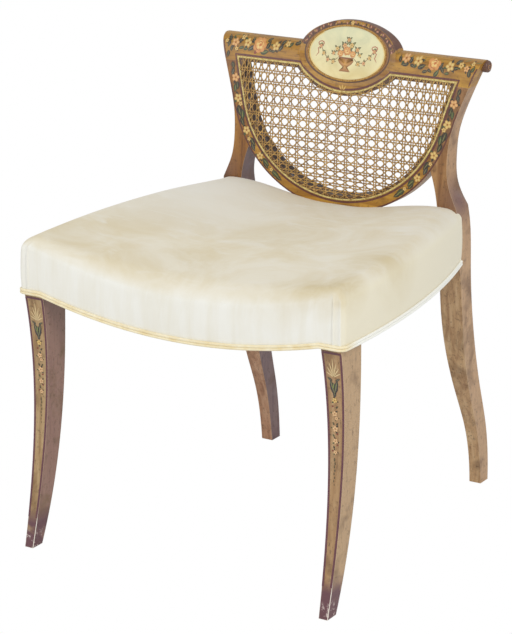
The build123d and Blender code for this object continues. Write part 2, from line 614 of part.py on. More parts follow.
def cane_layer(level):
    """Side view of a strand layer, counted outwards from the wood and drawn in straight spans."""
    rear = -level * (CANE_THICKNESS + CANE_STRAND_GAP) - CANE_STRAND_GAP - CANE_SPAN_SAG
    low = HOOP_Z - HOOP_OUTER_R
    high = CREST_Z + 2 * CANE_LAP
    heights = [low + (high - low) * span / CANE_SPANS for span in range(CANE_SPANS + 1)]
    with BuildSketch(Plane.YZ) as layer:
        with BuildLine():
            Polyline(*[(back_y(z, rear - CANE_THICKNESS), z) for z in heights],
                     *[(back_y(z, rear), z) for z in reversed(heights)], close=True)
        make_face()
    return layer.sketch


def pair_centres(place):
    return place - CANE_PAIR_PITCH / 2, place + CANE_PAIR_PITCH / 2


def woven(strands, level):
    """Strands drawn in front view, cut to the field and laid at their level on the back's curve."""
    with BuildPart() as layer:
        with BuildSketch(Plane.XZ):
            add(strands)
            add(cane_field.sketch, mode=Mode.INTERSECT)
        extrude(amount=BLANK, both=True)
        saw_across(cane_layer(level))
    return layer


def diagonals(angle):
    """One set of evenly spaced diagonal strands."""
    with BuildSketch() as strands:
        with Locations(Location((DIAGONAL_X, DIAGONAL_Z), angle)):
            with GridLocations(DIAGONAL_PITCH, 1, DIAGONALS, 1):
                Rectangle(CANE_WIDTH, BLANK)
    return strands.sketch


with BuildSketch() as column_strands:
    with Locations(*[(x, CANE_MIDDLE_Z) for place in CANE_COLUMNS for x in pair_centres(place)]):
        Rectangle(CANE_WIDTH, BLANK)

with BuildSketch() as row_strands:
    with Locations(*[(0, z) for place in CANE_ROWS for z in pair_centres(place)]):
        Rectangle(BLANK, CANE_WIDTH)

cane_verticals = woven(column_strands.sketch, 0)
cane_horizontals = woven(row_strands.sketch, 1)
cane_diagonals_rising = woven(diagonals(DIAGONAL_ANGLE - 90), 2)
cane_diagonals_falling = woven(diagonals(90 - DIAGONAL_ANGLE), 3)

with BuildPart() as cane_binding:
    with BuildSketch(Plane.XZ):
        add(back_opening.sketch)
        offset(amount=BINDING_LAP + BINDING_WIDTH, kind=Kind.INTERSECTION)
        with BuildSketch(mode=Mode.PRIVATE) as inner_edge:
            add(back_opening.sketch)
            offset(amount=BINDING_LAP, kind=Kind.INTERSECTION)
        add(inner_edge.sketch, mode=Mode.SUBTRACT)
    extrude(amount=BLANK, both=True)
    top_of_cane = 4 * (CANE_THICKNESS + CANE_STRAND_GAP) + CANE_STRAND_GAP + CANE_SPAN_SAG
    saw_across(back_layer(-top_of_cane - BINDING_THICKNESS, -top_of_cane, HOOP_Z - HOOP_OUTER_R,
                          CREST_Z + 3 * CANE_LAP))

# ---------------------------------------------------------------- corner screws
FRONT_RAIL_BACK_Y = RAIL_FRONT_Y + RAIL_THICKNESS
REAR_RAIL_FACE_Y = RAIL_REAR_Y - RAIL_THICKNESS
BLOCK_Z = RAIL_UNDERSIDE + BLOCK_LIFT
LOW_SCREW_Z = BLOCK_Z + LOW_SCREW_RISE
HIGH_SCREW_Z = BLOCK_Z + BLOCK_HEIGHT - LOW_SCREW_RISE
FRONT_SCREW_Y = LEG_REAR_Y + SCREW_SHARE * BLOCK_LEG
REAR_SCREW_Y = REAR_RAIL_FACE_Y - (1 - SCREW_SHARE) * BLOCK_LEG

# Each screw: the point where it crosses from block to rail, and its direction.
FRONT_RAIL_SCREW = ((LEG_INNER_X - SCREW_SHARE * BLOCK_LEG, FRONT_RAIL_BACK_Y, LOW_SCREW_Z), (0, -1, 0))
FRONT_SIDE_SCREW = ((side_x(FRONT_SCREW_Y, RAIL_INSET + RAIL_THICKNESS), FRONT_SCREW_Y, HIGH_SCREW_Z), (1, 0, 0))
REAR_RAIL_SCREW = ((STILE_INNER_X - SCREW_SHARE * BLOCK_LEG, REAR_RAIL_FACE_Y, LOW_SCREW_Z), (0, 1, 0))
REAR_SIDE_SCREW = ((side_x(REAR_SCREW_Y, RAIL_INSET + RAIL_THICKNESS), REAR_SCREW_Y, HIGH_SCREW_Z), (1, 0, 0))


def screw_section(plane, radius):
    """Plain eight-sided section, which keeps these small hidden parts light."""
    with BuildSketch(plane) as section:
        RegularPolygon(radius, 8)
    return section.sketch


def corner_screw(point, direction, grow=0.0, counterbore=0.0):
    """A screw, or the hole that takes it, with room for its head and the driver."""
    mode = Mode.SUBTRACT if grow else Mode.ADD
    head = max(counterbore, SCREW_HEAD_HEIGHT)
    seat = Plane(origin=point, z_dir=direction).offset(-SCREW_GRIP)
    extrude(screw_section(seat, SCREW_RADIUS + grow), amount=SCREW_GRIP + SCREW_BITE + grow, mode=mode)
    extrude(screw_section(seat, SCREW_HEAD_RADIUS + grow), amount=-head, mode=mode)


# ---------------------------------------------------------------- seat rails
with BuildPart() as front_seat_rail:
    with BuildSketch(Plane.XZ):
        with BuildLine():
            ThreePointArc((-LEG_INNER_X, RAIL_UNDERSIDE), (0, RAIL_UNDERSIDE - FRONT_DIP),
                          (LEG_INNER_X, RAIL_UNDERSIDE))
            Line((LEG_INNER_X, RAIL_UNDERSIDE), (LEG_INNER_X, RAIL_TOP))
            ThreePointArc((LEG_INNER_X, RAIL_TOP), (0, RAIL_TOP - FRONT_DIP), (-LEG_INNER_X, RAIL_TOP))
            Line((-LEG_INNER_X, RAIL_TOP), (-LEG_INNER_X, RAIL_UNDERSIDE))
        make_face()
    extrude(amount=BLANK, both=True)
    with Locations((0, RAIL_FRONT_Y + RAIL_THICKNESS / 2, RAIL_TOP)):
        Box(BLANK, RAIL_THICKNESS, BLANK, mode=Mode.INTERSECT)
    front_tenon()
    front_tenon(side=-1)
    for side in (1, -1):
        (x, y, z), direction = FRONT_RAIL_SCREW
        corner_screw((side * x, y, z), direction, JOINT_CLEARANCE)


def bowed_band(inset_out, inset_in, front_y, rear_y):
    """Plan of a strip that follows the bowed side of the seat."""
    middle_y = (front_y + rear_y) / 2
    with BuildSketch() as band:
        with BuildLine():
            ThreePointArc((side_x(front_y, inset_out), front_y), (side_x(middle_y, inset_out), middle_y),
                          (side_x(rear_y, inset_out), rear_y))
            Line((side_x(rear_y, inset_out), rear_y), (side_x(rear_y, inset_in), rear_y))
            ThreePointArc((side_x(rear_y, inset_in), rear_y), (side_x(middle_y, inset_in), middle_y),
                          (side_x(front_y, inset_in), front_y))
            Line((side_x(front_y, inset_in), front_y), (side_x(front_y, inset_out), front_y))
        make_face()
    return band.sketch


with BuildPart() as side_seat_rail_right:
    with BuildSketch(Plane.XY.offset(RAIL_UNDERSIDE)):
        add(bowed_band(RAIL_INSET, RAIL_INSET + RAIL_THICKNESS, LEG_REAR_Y, BACK_Y + THIGH_SWEEP))
    extrude(amount=RAIL_HEIGHT)
    add(stile_blank.part, mode=Mode.SUBTRACT)
    side_rear_tenon()
    side_front_tenon()
    for point, direction in (FRONT_SIDE_SCREW, REAR_SIDE_SCREW):
        corner_screw(point, direction, JOINT_CLEARANCE)

side_seat_rail_left = mirrored(side_seat_rail_right)

with BuildPart() as rear_seat_rail:
    with BuildSketch(Plane.XZ):
        with BuildLine():
            Polyline((STILE_INNER_X, RAIL_TOP), (STILE_OUTER_X, RAIL_TOP), (STILE_OUTER_X, RAIL_UNDERSIDE),
                     (-STILE_OUTER_X, RAIL_UNDERSIDE), (-STILE_OUTER_X, RAIL_TOP), (-STILE_INNER_X, RAIL_TOP))
            ThreePointArc((-STILE_INNER_X, RAIL_TOP), (0, RAIL_TOP - REAR_DIP), (STILE_INNER_X, RAIL_TOP))
        make_face()
    extrude(amount=BLANK, both=True)
    with Locations((0, RAIL_REAR_Y - RAIL_THICKNESS / 2, RAIL_TOP)):
        Box(2 * (STILE_INNER_X + 1), RAIL_THICKNESS, BLANK, mode=Mode.INTERSECT)
    for piece in (stile_blank, mirrored(stile_blank)):
        add(piece.part, mode=Mode.SUBTRACT)
    rear_tenon()
    rear_tenon(side=-1)
    for side in (1, -1):
        (x, y, z), direction = REAR_RAIL_SCREW
        corner_screw((side * x, y, z), direction, JOINT_CLEARANCE)


# ---------------------------------------------------------------- corner blocks and their screws
def block_triangle(tip_on_rail, corner, tip_on_side):
    with BuildSketch(Plane.XY.offset(BLOCK_Z)) as triangle:
        with BuildLine():
            Polyline(tip_on_rail, corner, tip_on_side, close=True)
        make_face()
    return triangle.sketch


FRONT_BLOCK_Y = LEG_REAR_Y + BLOCK_LEG
FRONT_BLOCK_X = side_x(FRONT_BLOCK_Y, RAIL_INSET + RAIL_THICKNESS) + SAW_MARGIN
REAR_BLOCK_Y = REAR_RAIL_FACE_Y - BLOCK_LEG
REAR_BLOCK_X = side_x(REAR_BLOCK_Y, RAIL_INSET + RAIL_THICKNESS) + SAW_MARGIN

with BuildPart() as front_corner_block_right:
    extrude(block_triangle((LEG_INNER_X - BLOCK_LEG, FRONT_RAIL_BACK_Y), (FRONT_BLOCK_X, FRONT_RAIL_BACK_Y),
                           (FRONT_BLOCK_X, FRONT_BLOCK_Y)), amount=BLOCK_HEIGHT)
    for piece in (front_leg_right, side_seat_rail_right):
        add(piece.part, mode=Mode.SUBTRACT)
    for point, direction in (FRONT_RAIL_SCREW, FRONT_SIDE_SCREW):
        corner_screw(point, direction, JOINT_CLEARANCE, counterbore=2 * BLOCK_LEG)

with BuildPart() as rear_block_blank:
    extrude(block_triangle((STILE_INNER_X - BLOCK_LEG, REAR_RAIL_FACE_Y), (REAR_BLOCK_X, REAR_RAIL_FACE_Y),
                           (REAR_BLOCK_X, REAR_BLOCK_Y)), amount=BLOCK_HEIGHT)
    for piece in (rear_stile_right, side_seat_rail_right):
        add(piece.part, mode=Mode.SUBTRACT)
    for point, direction in (REAR_RAIL_SCREW, REAR_SIDE_SCREW):
        corner_screw(point, direction, JOINT_CLEARANCE, counterbore=2 * BLOCK_LEG)

with BuildPart() as rear_corner_block_right:
    add(rear_block_blank.solids().sort_by(SortBy.VOLUME)[-1])

front_corner_block_left = mirrored(front_corner_block_right)
rear_corner_block_left = mirrored(rear_corner_block_right)

with BuildPart() as corner_block_screws:
    for (x, y, z), (dx, dy, dz) in (FRONT_RAIL_SCREW, FRONT_SIDE_SCREW, REAR_RAIL_SCREW, REAR_SIDE_SCREW):
        corner_screw((x, y, z), (dx, dy, dz))
        corner_screw((-x, y, z), (-dx, dy, dz))


# ---------------------------------------------------------------- saddle-shaped layers of the seat
def cross_plane(y):
    """Upright plane across the seat at y, with Z as its second axis."""
    return Plane(origin=(0, y, 0), x_dir=(1, 0, 0), z_dir=(0, -1, 0))


def dip_points(half, level, dip):
    """A shallow dip below a level line, from one side to the other."""
    places = [2 * step / DIP_STEPS - 1 for step in range(DIP_STEPS + 1)]
    return [(half * place, level - dip * (1 - place ** 2)) for place in places]


def dipped_section(y, level, half, dip):
    """Everything below a level line that dips over this half width."""
    with BuildSketch(cross_plane(y)) as section:
        with BuildLine():
            Polyline((DEPTH / 2, level), (DEPTH / 2, 0), (-DEPTH / 2, 0), (-DEPTH / 2, level),
                     *dip_points(half, level, dip), close=True)
        make_face()
    return section.sketch


def saddle(level, front_dip, rear_dip):
    """Solid below a surface that dips between the front legs and between the rear stiles."""
    with BuildPart() as solid:
        loft([dipped_section(-DEPTH / 2, level, LEG_INNER_X, front_dip),
              dipped_section(FRONT_RAIL_BACK_Y, level, LEG_INNER_X, front_dip),
              dipped_section(REAR_RAIL_FACE_Y, level, STILE_INNER_X, rear_dip),
              dipped_section(DEPTH / 2, level, STILE_INNER_X, rear_dip)], ruled=True)
    return solid.part


def seat_plan(inset, front_y, rear_y):
    """Plan of the seat, this far inside the cover's bowed sides."""
    middle_y = (front_y + rear_y) / 2
    with BuildSketch() as plan:
        with BuildLine():
            ThreePointArc((side_x(front_y, inset), front_y), (side_x(middle_y, inset), middle_y),
                          (side_x(rear_y, inset), rear_y))
            Line((side_x(rear_y, inset), rear_y), (-side_x(rear_y, inset), rear_y))
            ThreePointArc((-side_x(rear_y, inset), rear_y), (-side_x(middle_y, inset), middle_y),
                          (-side_x(front_y, inset), front_y))
            Line((-side_x(front_y, inset), front_y), (side_x(front_y, inset), front_y))
        make_face()
    return plan.sketch


def trim_to_frame():
    """Notch a layer round the legs and stiles."""
    for post in (stile_blank, mirrored(stile_blank)):
        add(post.part, mode=Mode.SUBTRACT)


def deck_layer(bottom, top):
    """Keep a layer between two lifts above the seat deck."""
    add(saddle(RAIL_TOP + top, FRONT_DIP, REAR_DIP), mode=Mode.INTERSECT)
    add(saddle(RAIL_TOP + bottom, FRONT_DIP, REAR_DIP), mode=Mode.SUBTRACT)


with BuildPart() as webbing_lengthwise:
    with BuildSketch():
        with Locations((0, (FRONT_WEB_Y + REAR_WEB_Y) / 2)):
            with GridLocations(WEB_SPACING, 1, 3, 1):
                Rectangle(WEB_WIDTH, REAR_WEB_Y - FRONT_WEB_Y)
    extrude(amount=BLANK)
    deck_layer(WEB_GAP, WEB_GAP + WEB_THICKNESS)

with BuildPart() as webbing_crosswise:
    add(extrude(seat_plan(WEB_MARGIN, FRONT_WEB_Y, REAR_WEB_Y), amount=BLANK, mode=Mode.PRIVATE))
    with Locations((0, (FRONT_WEB_Y + REAR_WEB_Y) / 2, BLANK / 2)):
        with GridLocations(1, WEB_SPACING, 1, 3):
            Box(BLANK, WEB_WIDTH, BLANK, mode=Mode.INTERSECT)
    deck_layer(2 * WEB_GAP + WEB_THICKNESS, 2 * (WEB_GAP + WEB_THICKNESS))

with BuildPart() as hessian:
    extrude(seat_plan(WEB_MARGIN, FRONT_WEB_Y, REAR_WEB_Y), amount=BLANK)
    deck_layer(HESSIAN_LIFT, HESSIAN_LIFT + CLOTH_THICKNESS)
    trim_to_frame()

with BuildPart() as dust_cover:
    extrude(seat_plan(DUST_COVER_MARGIN, FRONT_WEB_Y, REAR_WEB_Y), amount=BLANK)
    add(saddle(RAIL_UNDERSIDE - DUST_COVER_DROP, FRONT_DIP, DUST_COVER_SAG), mode=Mode.INTERSECT)
    add(saddle(RAIL_UNDERSIDE - DUST_COVER_DROP - DUST_COVER_THICKNESS, FRONT_DIP, DUST_COVER_SAG),
        mode=Mode.SUBTRACT)
    trim_to_frame()
    for leg in (front_leg_right, front_leg_left):
        add(leg.part, mode=Mode.SUBTRACT)

# ---------------------------------------------------------------- stuffing and cover
# Each station: place behind the cover's front, rise of the middle and of the sides above the
# rails, radius of the side's shoulder, and how far the corner is rounded off in plan.
FRONT_STATIONS = (
    (0.0, -20.0, 15.0, 8.0, 1.0),
    (5.0, -9.0, 23.0, 12.0, 0.0),
    (22.0, 3.0, 30.0, 16.0, 0.0),
    (67.0, 13.0, 35.0, 20.0, 0.0),
)
REAR_STATIONS = (
    (REAR_EDGE_Y, 18.0, 35.0, 18.0, 0.0),
    (BACK_Y - STUFFING_GAP, 6.5, 28.0, 14.0, 0.0),
    (SIDE_REAR_Y, 2.0, 20.0, 10.0, 0.0),
)


FORM_LOW_Z = RAIL_UNDERSIDE - FRONT_DIP - 2 * TENON_ROOT


def seat_section(y, centre_rise, edge_rise, shoulder, corner, inset):
    """Section across the stuffed seat: upright sides, round shoulders and a dipped top."""
    half = side_x(y, inset) - corner
    edge_z = RAIL_TOP + edge_rise - inset
    turns = [pi / 2 * step / SHOULDER_STEPS for step in range(SHOULDER_STEPS)]
    bend = [(half - shoulder + shoulder * cos(turn), edge_z - shoulder + shoulder * sin(turn)) for turn in turns]
    with BuildSketch(cross_plane(y)) as section:
        with BuildLine():
            Polyline((half, FORM_LOW_Z), (-half, FORM_LOW_Z), *[(-x, z) for x, z in bend],
                     *dip_points(half - shoulder, edge_z, edge_rise - centre_rise), *reversed(bend), close=True)
        make_face()
    return section.sketch


def seat_form(inset):
    """Closed form of the stuffed seat, this far inside the outside of its cover."""
    main = [seat_section(COVER_FRONT_Y + max(back, inset), *shape, inset) for back, *shape in FRONT_STATIONS]
    for share in (1 / 3, 2 / 3):
        y = main_station_y(share)
        main.append(seat_section(y, CENTRE_RISE, EDGE_RISE, FRONT_STATIONS[-1][3], 0.0, inset))
    rear = [seat_section(y, *shape, inset) for y, *shape in REAR_STATIONS]
    with BuildPart() as form:
        loft(main + rear[:1], ruled=True)
        loft(rear, ruled=True)
        with BuildSketch(cross_plane(REAR_EDGE_Y)):
            with BuildLine():
                half = STILE_OUTER_X - COVER_THICKNESS
                Polyline((half, FORM_LOW_Z), (-half, FORM_LOW_Z),
                         *dip_points(half, RAIL_TOP + REAR_RISE - inset, REAR_RISE - REAR_STATIONS[-1][1]),
                         close=True)
            make_face()
        extrude(amount=-(RAIL_REAR_Y + COVER_THICKNESS + STUFFING_GAP - inset - REAR_EDGE_Y))
        trim_to_frame()
    return form.part


def main_station_y(share):
    """Y of a station between the rounded front and the rear edge of the seat."""
    front = COVER_FRONT_Y + FRONT_STATIONS[-1][0]
    return front + share * (REAR_EDGE_Y - front)


with BuildPart() as cover_envelope:
    add(seat_form(0.0))
    add(saddle(RAIL_UNDERSIDE, FRONT_DIP, FRONT_DIP), mode=Mode.SUBTRACT)
    with Locations((0, FRONT_RAIL_BACK_Y + BLANK / 2, RAIL_UNDERSIDE - BLANK / 2)):
        Box(BLANK, BLANK, BLANK, mode=Mode.SUBTRACT)

with BuildPart() as seat_cover:
    add(cover_envelope.part)
    add(seat_form(COVER_THICKNESS), mode=Mode.SUBTRACT)

with BuildPart() as seat_stuffing:
    add(seat_form(COVER_THICKNESS + STUFFING_GAP))
    add(saddle(RAIL_TOP + HESSIAN_LIFT + CLOTH_THICKNESS + WEB_GAP, FRONT_DIP, REAR_DIP), mode=Mode.SUBTRACT)


WELT_LOW_Z = RAIL_UNDERSIDE - WELT_DROP

with BuildPart() as seat_welt_front:
    with BuildSketch(cross_plane(COVER_FRONT_Y - WELT_GAP)):
        with BuildLine():
            front_end_x = side_x(COVER_FRONT_Y, -WELT_GAP - WELT_THICKNESS)
            for z in (WELT_LOW_Z, WELT_LOW_Z + WELT_HEIGHT):
                Line((-front_end_x, z), (-LEG_INNER_X, z))
                ThreePointArc((-LEG_INNER_X, z), (0, z - FRONT_DIP), (LEG_INNER_X, z))
                Line((LEG_INNER_X, z), (front_end_x, z))
            Line((front_end_x, WELT_LOW_Z), (front_end_x, WELT_LOW_Z + WELT_HEIGHT))
            Line((-front_end_x, WELT_LOW_Z), (-front_end_x, WELT_LOW_Z + WELT_HEIGHT))
        make_face()
    extrude(amount=WELT_THICKNESS)

with BuildPart() as seat_welt_side_right:
    with BuildSketch(Plane.XY.offset(WELT_LOW_Z)):
        add(bowed_band(-WELT_GAP - WELT_THICKNESS, -WELT_GAP, COVER_FRONT_Y, SIDE_REAR_Y))
    extrude(amount=WELT_HEIGHT)
    trim_to_frame()

seat_welt_side_left = mirrored(seat_welt_side_right)

# ---------------------------------------------------------------- the pieces
pieces = {
    "front_leg_right": front_leg_right,
    "front_leg_left": front_leg_left,
    "rear_stile_right": rear_stile_right,
    "rear_stile_left": rear_stile_left,
    "hoop_rail_right": hoop_rail_right,
    "hoop_rail_left": hoop_rail_left,
    "hoop_dowels": hoop_dowels,
    "crest_rail": crest_rail_recessed,
    "crest_dowels": crest_dowels,
    "medallion_panel": medallion_panel,
    "medallion_bead": medallion_bead,
    "cane_verticals": cane_verticals,
    "cane_horizontals": cane_horizontals,
    "cane_diagonals_rising": cane_diagonals_rising,
    "cane_diagonals_falling": cane_diagonals_falling,
    "cane_binding": cane_binding,
    "front_seat_rail": front_seat_rail,
    "side_seat_rail_right": side_seat_rail_right,
    "side_seat_rail_left": side_seat_rail_left,
    "rear_seat_rail": rear_seat_rail,
    "front_corner_block_right": front_corner_block_right,
    "front_corner_block_left": front_corner_block_left,
    "rear_corner_block_right": rear_corner_block_right,
    "rear_corner_block_left": rear_corner_block_left,
    "corner_block_screws": corner_block_screws,
    "webbing_lengthwise": webbing_lengthwise,
    "webbing_crosswise": webbing_crosswise,
    "hessian": hessian,
    "dust_cover": dust_cover,
    "seat_stuffing": seat_stuffing,
    "seat_cover": seat_cover,
    "seat_welt_front": seat_welt_front,
    "seat_welt_side_right": seat_welt_side_right,
    "seat_welt_side_left": seat_welt_side_left,
}
for name, piece in pieces.items():
    save(piece, name)
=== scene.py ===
"""Painted satinwood side chair: figured wood, painted garlands, woven cane and a velvet seat.

Lengths are in millimetres in the chair's own frame (+X its right-hand side seen from the
front, -Y the front, +Z up), and MM turns them into metres where they enter a mesh.
Colours are written as 0 to 255.
"""
import random
from math import atan2, copysign, cos, exp, hypot, pi, radians, sin, sqrt

import bmesh
import bpy
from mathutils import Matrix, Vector
from mathutils.bvhtree import BVHTree


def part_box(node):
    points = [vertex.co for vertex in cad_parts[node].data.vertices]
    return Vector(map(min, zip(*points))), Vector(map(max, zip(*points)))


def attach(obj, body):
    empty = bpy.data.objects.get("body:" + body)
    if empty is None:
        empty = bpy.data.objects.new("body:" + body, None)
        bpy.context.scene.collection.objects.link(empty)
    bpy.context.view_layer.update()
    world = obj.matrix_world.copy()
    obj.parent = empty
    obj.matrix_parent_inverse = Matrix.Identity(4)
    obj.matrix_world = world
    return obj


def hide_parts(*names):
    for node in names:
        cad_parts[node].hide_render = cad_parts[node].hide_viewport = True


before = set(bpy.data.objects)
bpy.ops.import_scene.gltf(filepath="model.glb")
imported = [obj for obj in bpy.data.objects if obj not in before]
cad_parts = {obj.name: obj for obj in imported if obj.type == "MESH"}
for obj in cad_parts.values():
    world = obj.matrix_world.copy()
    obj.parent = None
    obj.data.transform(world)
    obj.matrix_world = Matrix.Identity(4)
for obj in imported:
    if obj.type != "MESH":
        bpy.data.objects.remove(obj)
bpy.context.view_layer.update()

MM = 0.001
CAMERA_PLACE = (1722.1, -2895.8, 1339.0)
CAMERA_TURN = 31.323          # degrees to the chair's right
CAMERA_DIP = 17.199           # degrees down
CAMERA_LENS = 143.65          # on a 36 mm sensor

# ---------------------------------------------------------------- the chair's sizes
HOOP_INNER_R = 158.2
HOOP_OUTER_R = 181.3
CREST_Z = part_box("crest_dowels")[0].z / MM + 14.0
HOOP_Z = CREST_Z - 15.7
SPRING_Z = 441.0
BACK_Y = 155.8
BACK_RADIUS = 850.0
LEAVE_X = 152.7               # where the opening's side leaves the circle
OPENING_TOP_X = 169.0
APRON_HALF = 75.9
APRON_DROP = 31.2
CREST_TOP_Z = CREST_Z + 36.0
TABLET_Z = CREST_Z + 27.2
TABLET_HALF_WIDTH = 77.2
TABLET_HALF_HEIGHT = 44.0
PANEL_HALF_WIDTH = 60.8
PANEL_HALF_HEIGHT = 35.6
OUTLINE_STEP = 3.0            # between the points of the opening's outline
HOLE_SET = 5.6                # drilled holes and binding, out from the opening's edge
LINE_SET = 8.9                # maroon line, likewise

RAIL_LOW_Z = 362.0
RAIL_TOP_Z = 406.0
LEG_INNER_X = 215.5
LEG_OUTER_X = 245.5
SEAT_FRONT_Y = -267.2
SEAT_REAR_Y = 171.8
SEAT_FRONT_X = 249.3
SEAT_REAR_X = 192.6
SEAT_BOW = 18.5
FRONT_DIP = 27.5


def back_y(z):
    """Y of the back's front face at height z."""
    return BACK_Y + BACK_RADIUS - sqrt(BACK_RADIUS ** 2 - (z - SPRING_Z) ** 2)


# ---------------------------------------------------------------- materials
def linear(colour):
    """A colour of 0 to 255 as the shader wants it."""
    shares = [value / 255 for value in colour]
    tones = [share / 12.92 if share <= 0.04045 else ((share + 0.055) / 1.055) ** 2.4 for share in shares]
    return (*tones, 1.0)


def blended(first, second, share):
    return tuple(a + (b - a) * share for a, b in zip(first, second))


def join(tree, value, socket):
    """Link one socket to another, or set it to a plain value."""
    if isinstance(value, bpy.types.NodeSocket):
        tree.links.new(value, socket)
    else:
        socket.default_value = value


def add_node(tree, kind, inputs, output=0, **settings):
    """A shader node with its settings made and its inputs joined or set. Gives one output."""
    node = tree.nodes.new("ShaderNode" + kind)
    for name, value in settings.items():
        setattr(node, name, value)
    for name, value in inputs.items():
        join(tree, value, node.inputs[name])
    return node.outputs[output] if node.outputs else None


class Shading:
    """A material with short calls to add and join its nodes."""

    def __init__(self, name, roughness, coat=0.0, sheen=0.0, specular=0.5, metallic=0.0):
        self.material = bpy.data.materials.new(name)
        self.material.use_nodes = True
        self.tree = self.material.node_tree
        self.sockets = self.tree.nodes["Principled BSDF"].inputs
        looks = {"Roughness": roughness, "Coat Weight": coat, "Coat Roughness": 0.18, "Sheen Weight": sheen,
                 "Specular IOR Level": specular, "Metallic": metallic}
        for socket, value in looks.items():
            self.sockets[socket].default_value = value
        self.place = self.add("TexCoord", {}, "Object")
        self.normal = self.add("NewGeometry", {}, "Normal")

    def add(self, kind, inputs, output=0, **settings):
        return add_node(self.tree, kind, inputs, output, **settings)

    def noise(self, scale, detail=4.0, roughness=0.5, distortion=0.0, stretch=None):
        """Noise of this scale, or of a scale for each axis."""
        place = self.add("Mapping", {"Vector": self.place, "Scale": stretch}) if stretch else self.place
        return self.add("TexNoise", {"Vector": place, "Scale": scale, "Detail": detail,
                                     "Roughness": roughness, "Distortion": distortion}, "Fac")

    def ramp(self, value, *stops):
        """Colours along a value, with stops of (value, colour)."""
        made = self.tree.nodes.new("ShaderNodeValToRGB")
        join(self.tree, value, made.inputs["Fac"])
        elements = made.color_ramp.elements
        while len(elements) < len(stops):
            elements.new(0.5)
        for element, (position, colour) in zip(elements, stops):
            element.position = position
            element.color = linear(colour)
        return made.outputs["Color"]

    def mask(self, value, low, high):
        """0 below low, 1 above high."""
        return self.add("MapRange", {"Value": value, "From Min": low, "From Max": high}, "Result")

    def mix(self, share, first, second, kind="MIX"):
        """A blend of two colours, each a socket or written as 0 to 255."""
        first, second = (tone if isinstance(tone, bpy.types.NodeSocket) else linear(tone)
                         for tone in (first, second))
        return self.add("Mix", {0: share, 6: first, 7: second}, 2, data_type="RGBA", blend_type=kind)

    def times(self, first, second):
        return self.add("Math", {0: first, 1: second}, operation="MULTIPLY")

    def plus(self, first, second):
        return self.add("Math", {0: first, 1: second}, operation="ADD")

    def along(self, axis, low, high):
        """0 before one place along an axis, 1 after another."""
        return self.mask(self.add("SeparateXYZ", {0: self.place}, axis), low * MM, high * MM)

    def facing(self, axis, low, high):
        """0 where the surface turns away from an axis, 1 where it faces along it."""
        return self.mask(self.add("SeparateXYZ", {0: self.normal}, axis), low, high)

    def near(self, centre, radius):
        """1 at a point of the chair, 0 this far from it."""
        ends = {0: self.place, 1: [value * MM for value in centre]}
        return self.mask(self.add("VectorMath", ends, "Value", operation="DISTANCE"), radius * MM, 0.0)

    def paint(self):
        """The colours kept in the mesh."""
        return self.add("Attribute", {}, "Color", attribute_name="paint")

    def finished(self, colour, relief, strength, depth):
        """The material, with this colour and its relief as a bump."""
        join(self.tree, colour, self.sockets["Base Color"])
        bump = self.add("Bump", {"Height": relief, "Strength": strength, "Distance": depth * MM}, "Normal")
        join(self.tree, bump, self.sockets["Normal"])
        return self.material


ALONG = {"x": (9, 130, 130), "z": (130, 130, 9)}      # how the grain stretches
GRAIN_STOPS = (0.3, 0.5, 0.72)
KNEE = (190, 165, 452)        # where the stile stands on the seat, darkened there as painted shade
# The same place on the right stile's side face, darkened as painted shade.
SIDE_KNEE = (190, 175, 452)


def satinwood(name, grain, tones, low=None, side=None, side_light_and_shade_share=0.0, edge_wear_and_highlight=0.0, toe=False):
    """Varnished satinwood: long grain, fine pores, warm patches, pale rubbed edges that are also a painted
    highlight, and painted light and shade on its faces to the chair's right.

    tones are its dark, middle and light colours, low the same below the seat, and side the colour that its
    faces to the chair's right turn to: painted light on the right-hand pieces and painted shade on the
    left-hand ones.
    """
    wood = Shading(name, 0.4, coat=0.22)
    figure = wood.noise(1.0, 5, 0.6, 0.5, ALONG[grain])
    pores = wood.noise(5.0, 3, 0.7, 0.0, ALONG[grain])
    patches = wood.noise(22.0, 3, 0.55, 0.4)
    mottle = wood.noise(160.0, 4, 0.7, 0.3)
    tone = wood.ramp(figure, *zip(GRAIN_STOPS, tones))
    if low:
        tone = wood.mix(wood.along("Z", 360, 440), wood.ramp(figure, *zip(GRAIN_STOPS, low)), tone)
        for hand in (-1, 1):
            # Painted shade where each stile meets the seat.
            knee = wood.near((hand * KNEE[0], *KNEE[1:]), 40)
            tone = wood.mix(wood.times(knee, 0.9), tone, (104, 72, 66))
    # Painted light and shade: faces to the chair's right turn to the side colour, lighter on the right-hand
    # pieces and darker on the left-hand ones.
    if side:
        # Painted shade on the right stile's side face where it meets the seat.
        shade = wood.mix(wood.near(SIDE_KNEE, 46), side, (112, 80, 84)) if low else side
        tone = wood.mix(wood.times(wood.facing("X", 0.35, 0.85), side_light_and_shade_share), tone, shade)
    for flecks, start, full, share in ((patches, 0.5, 0.75, 0.84), (pores, 0.60, 0.72, 0.58),
                                       (mottle, 0.56, 0.78, 0.68)):
        tone = wood.mix(wood.mask(flecks, start, full), tone, [value * share for value in tones[0]])
    if edge_wear_and_highlight:
        # Pale edges: rubbed wood, and a painted highlight along them.
        tone = wood.mix(edge_wear_and_highlight, tone, (236, 214, 178))
    if toe:
        foot = wood.along("Z", 56, 34)
        tone = wood.mix(wood.times(foot, wood.mask(patches, 0.30, 0.46)), tone, (104, 66, 72))
        chips = wood.times(wood.along("Z", 26, 16), wood.mask(mottle, 0.55, 0.60))
        tone = wood.mix(chips, tone, (196, 178, 172))
        if edge_wear_and_highlight:
            tone = wood.mix(foot, tone, (240, 232, 218))
    join(wood.tree, wood.mask(figure, -0.6, 2.2), wood.sockets["Roughness"])
    return wood.finished(tone, wood.plus(figure, pores), 0.25, 0.25)


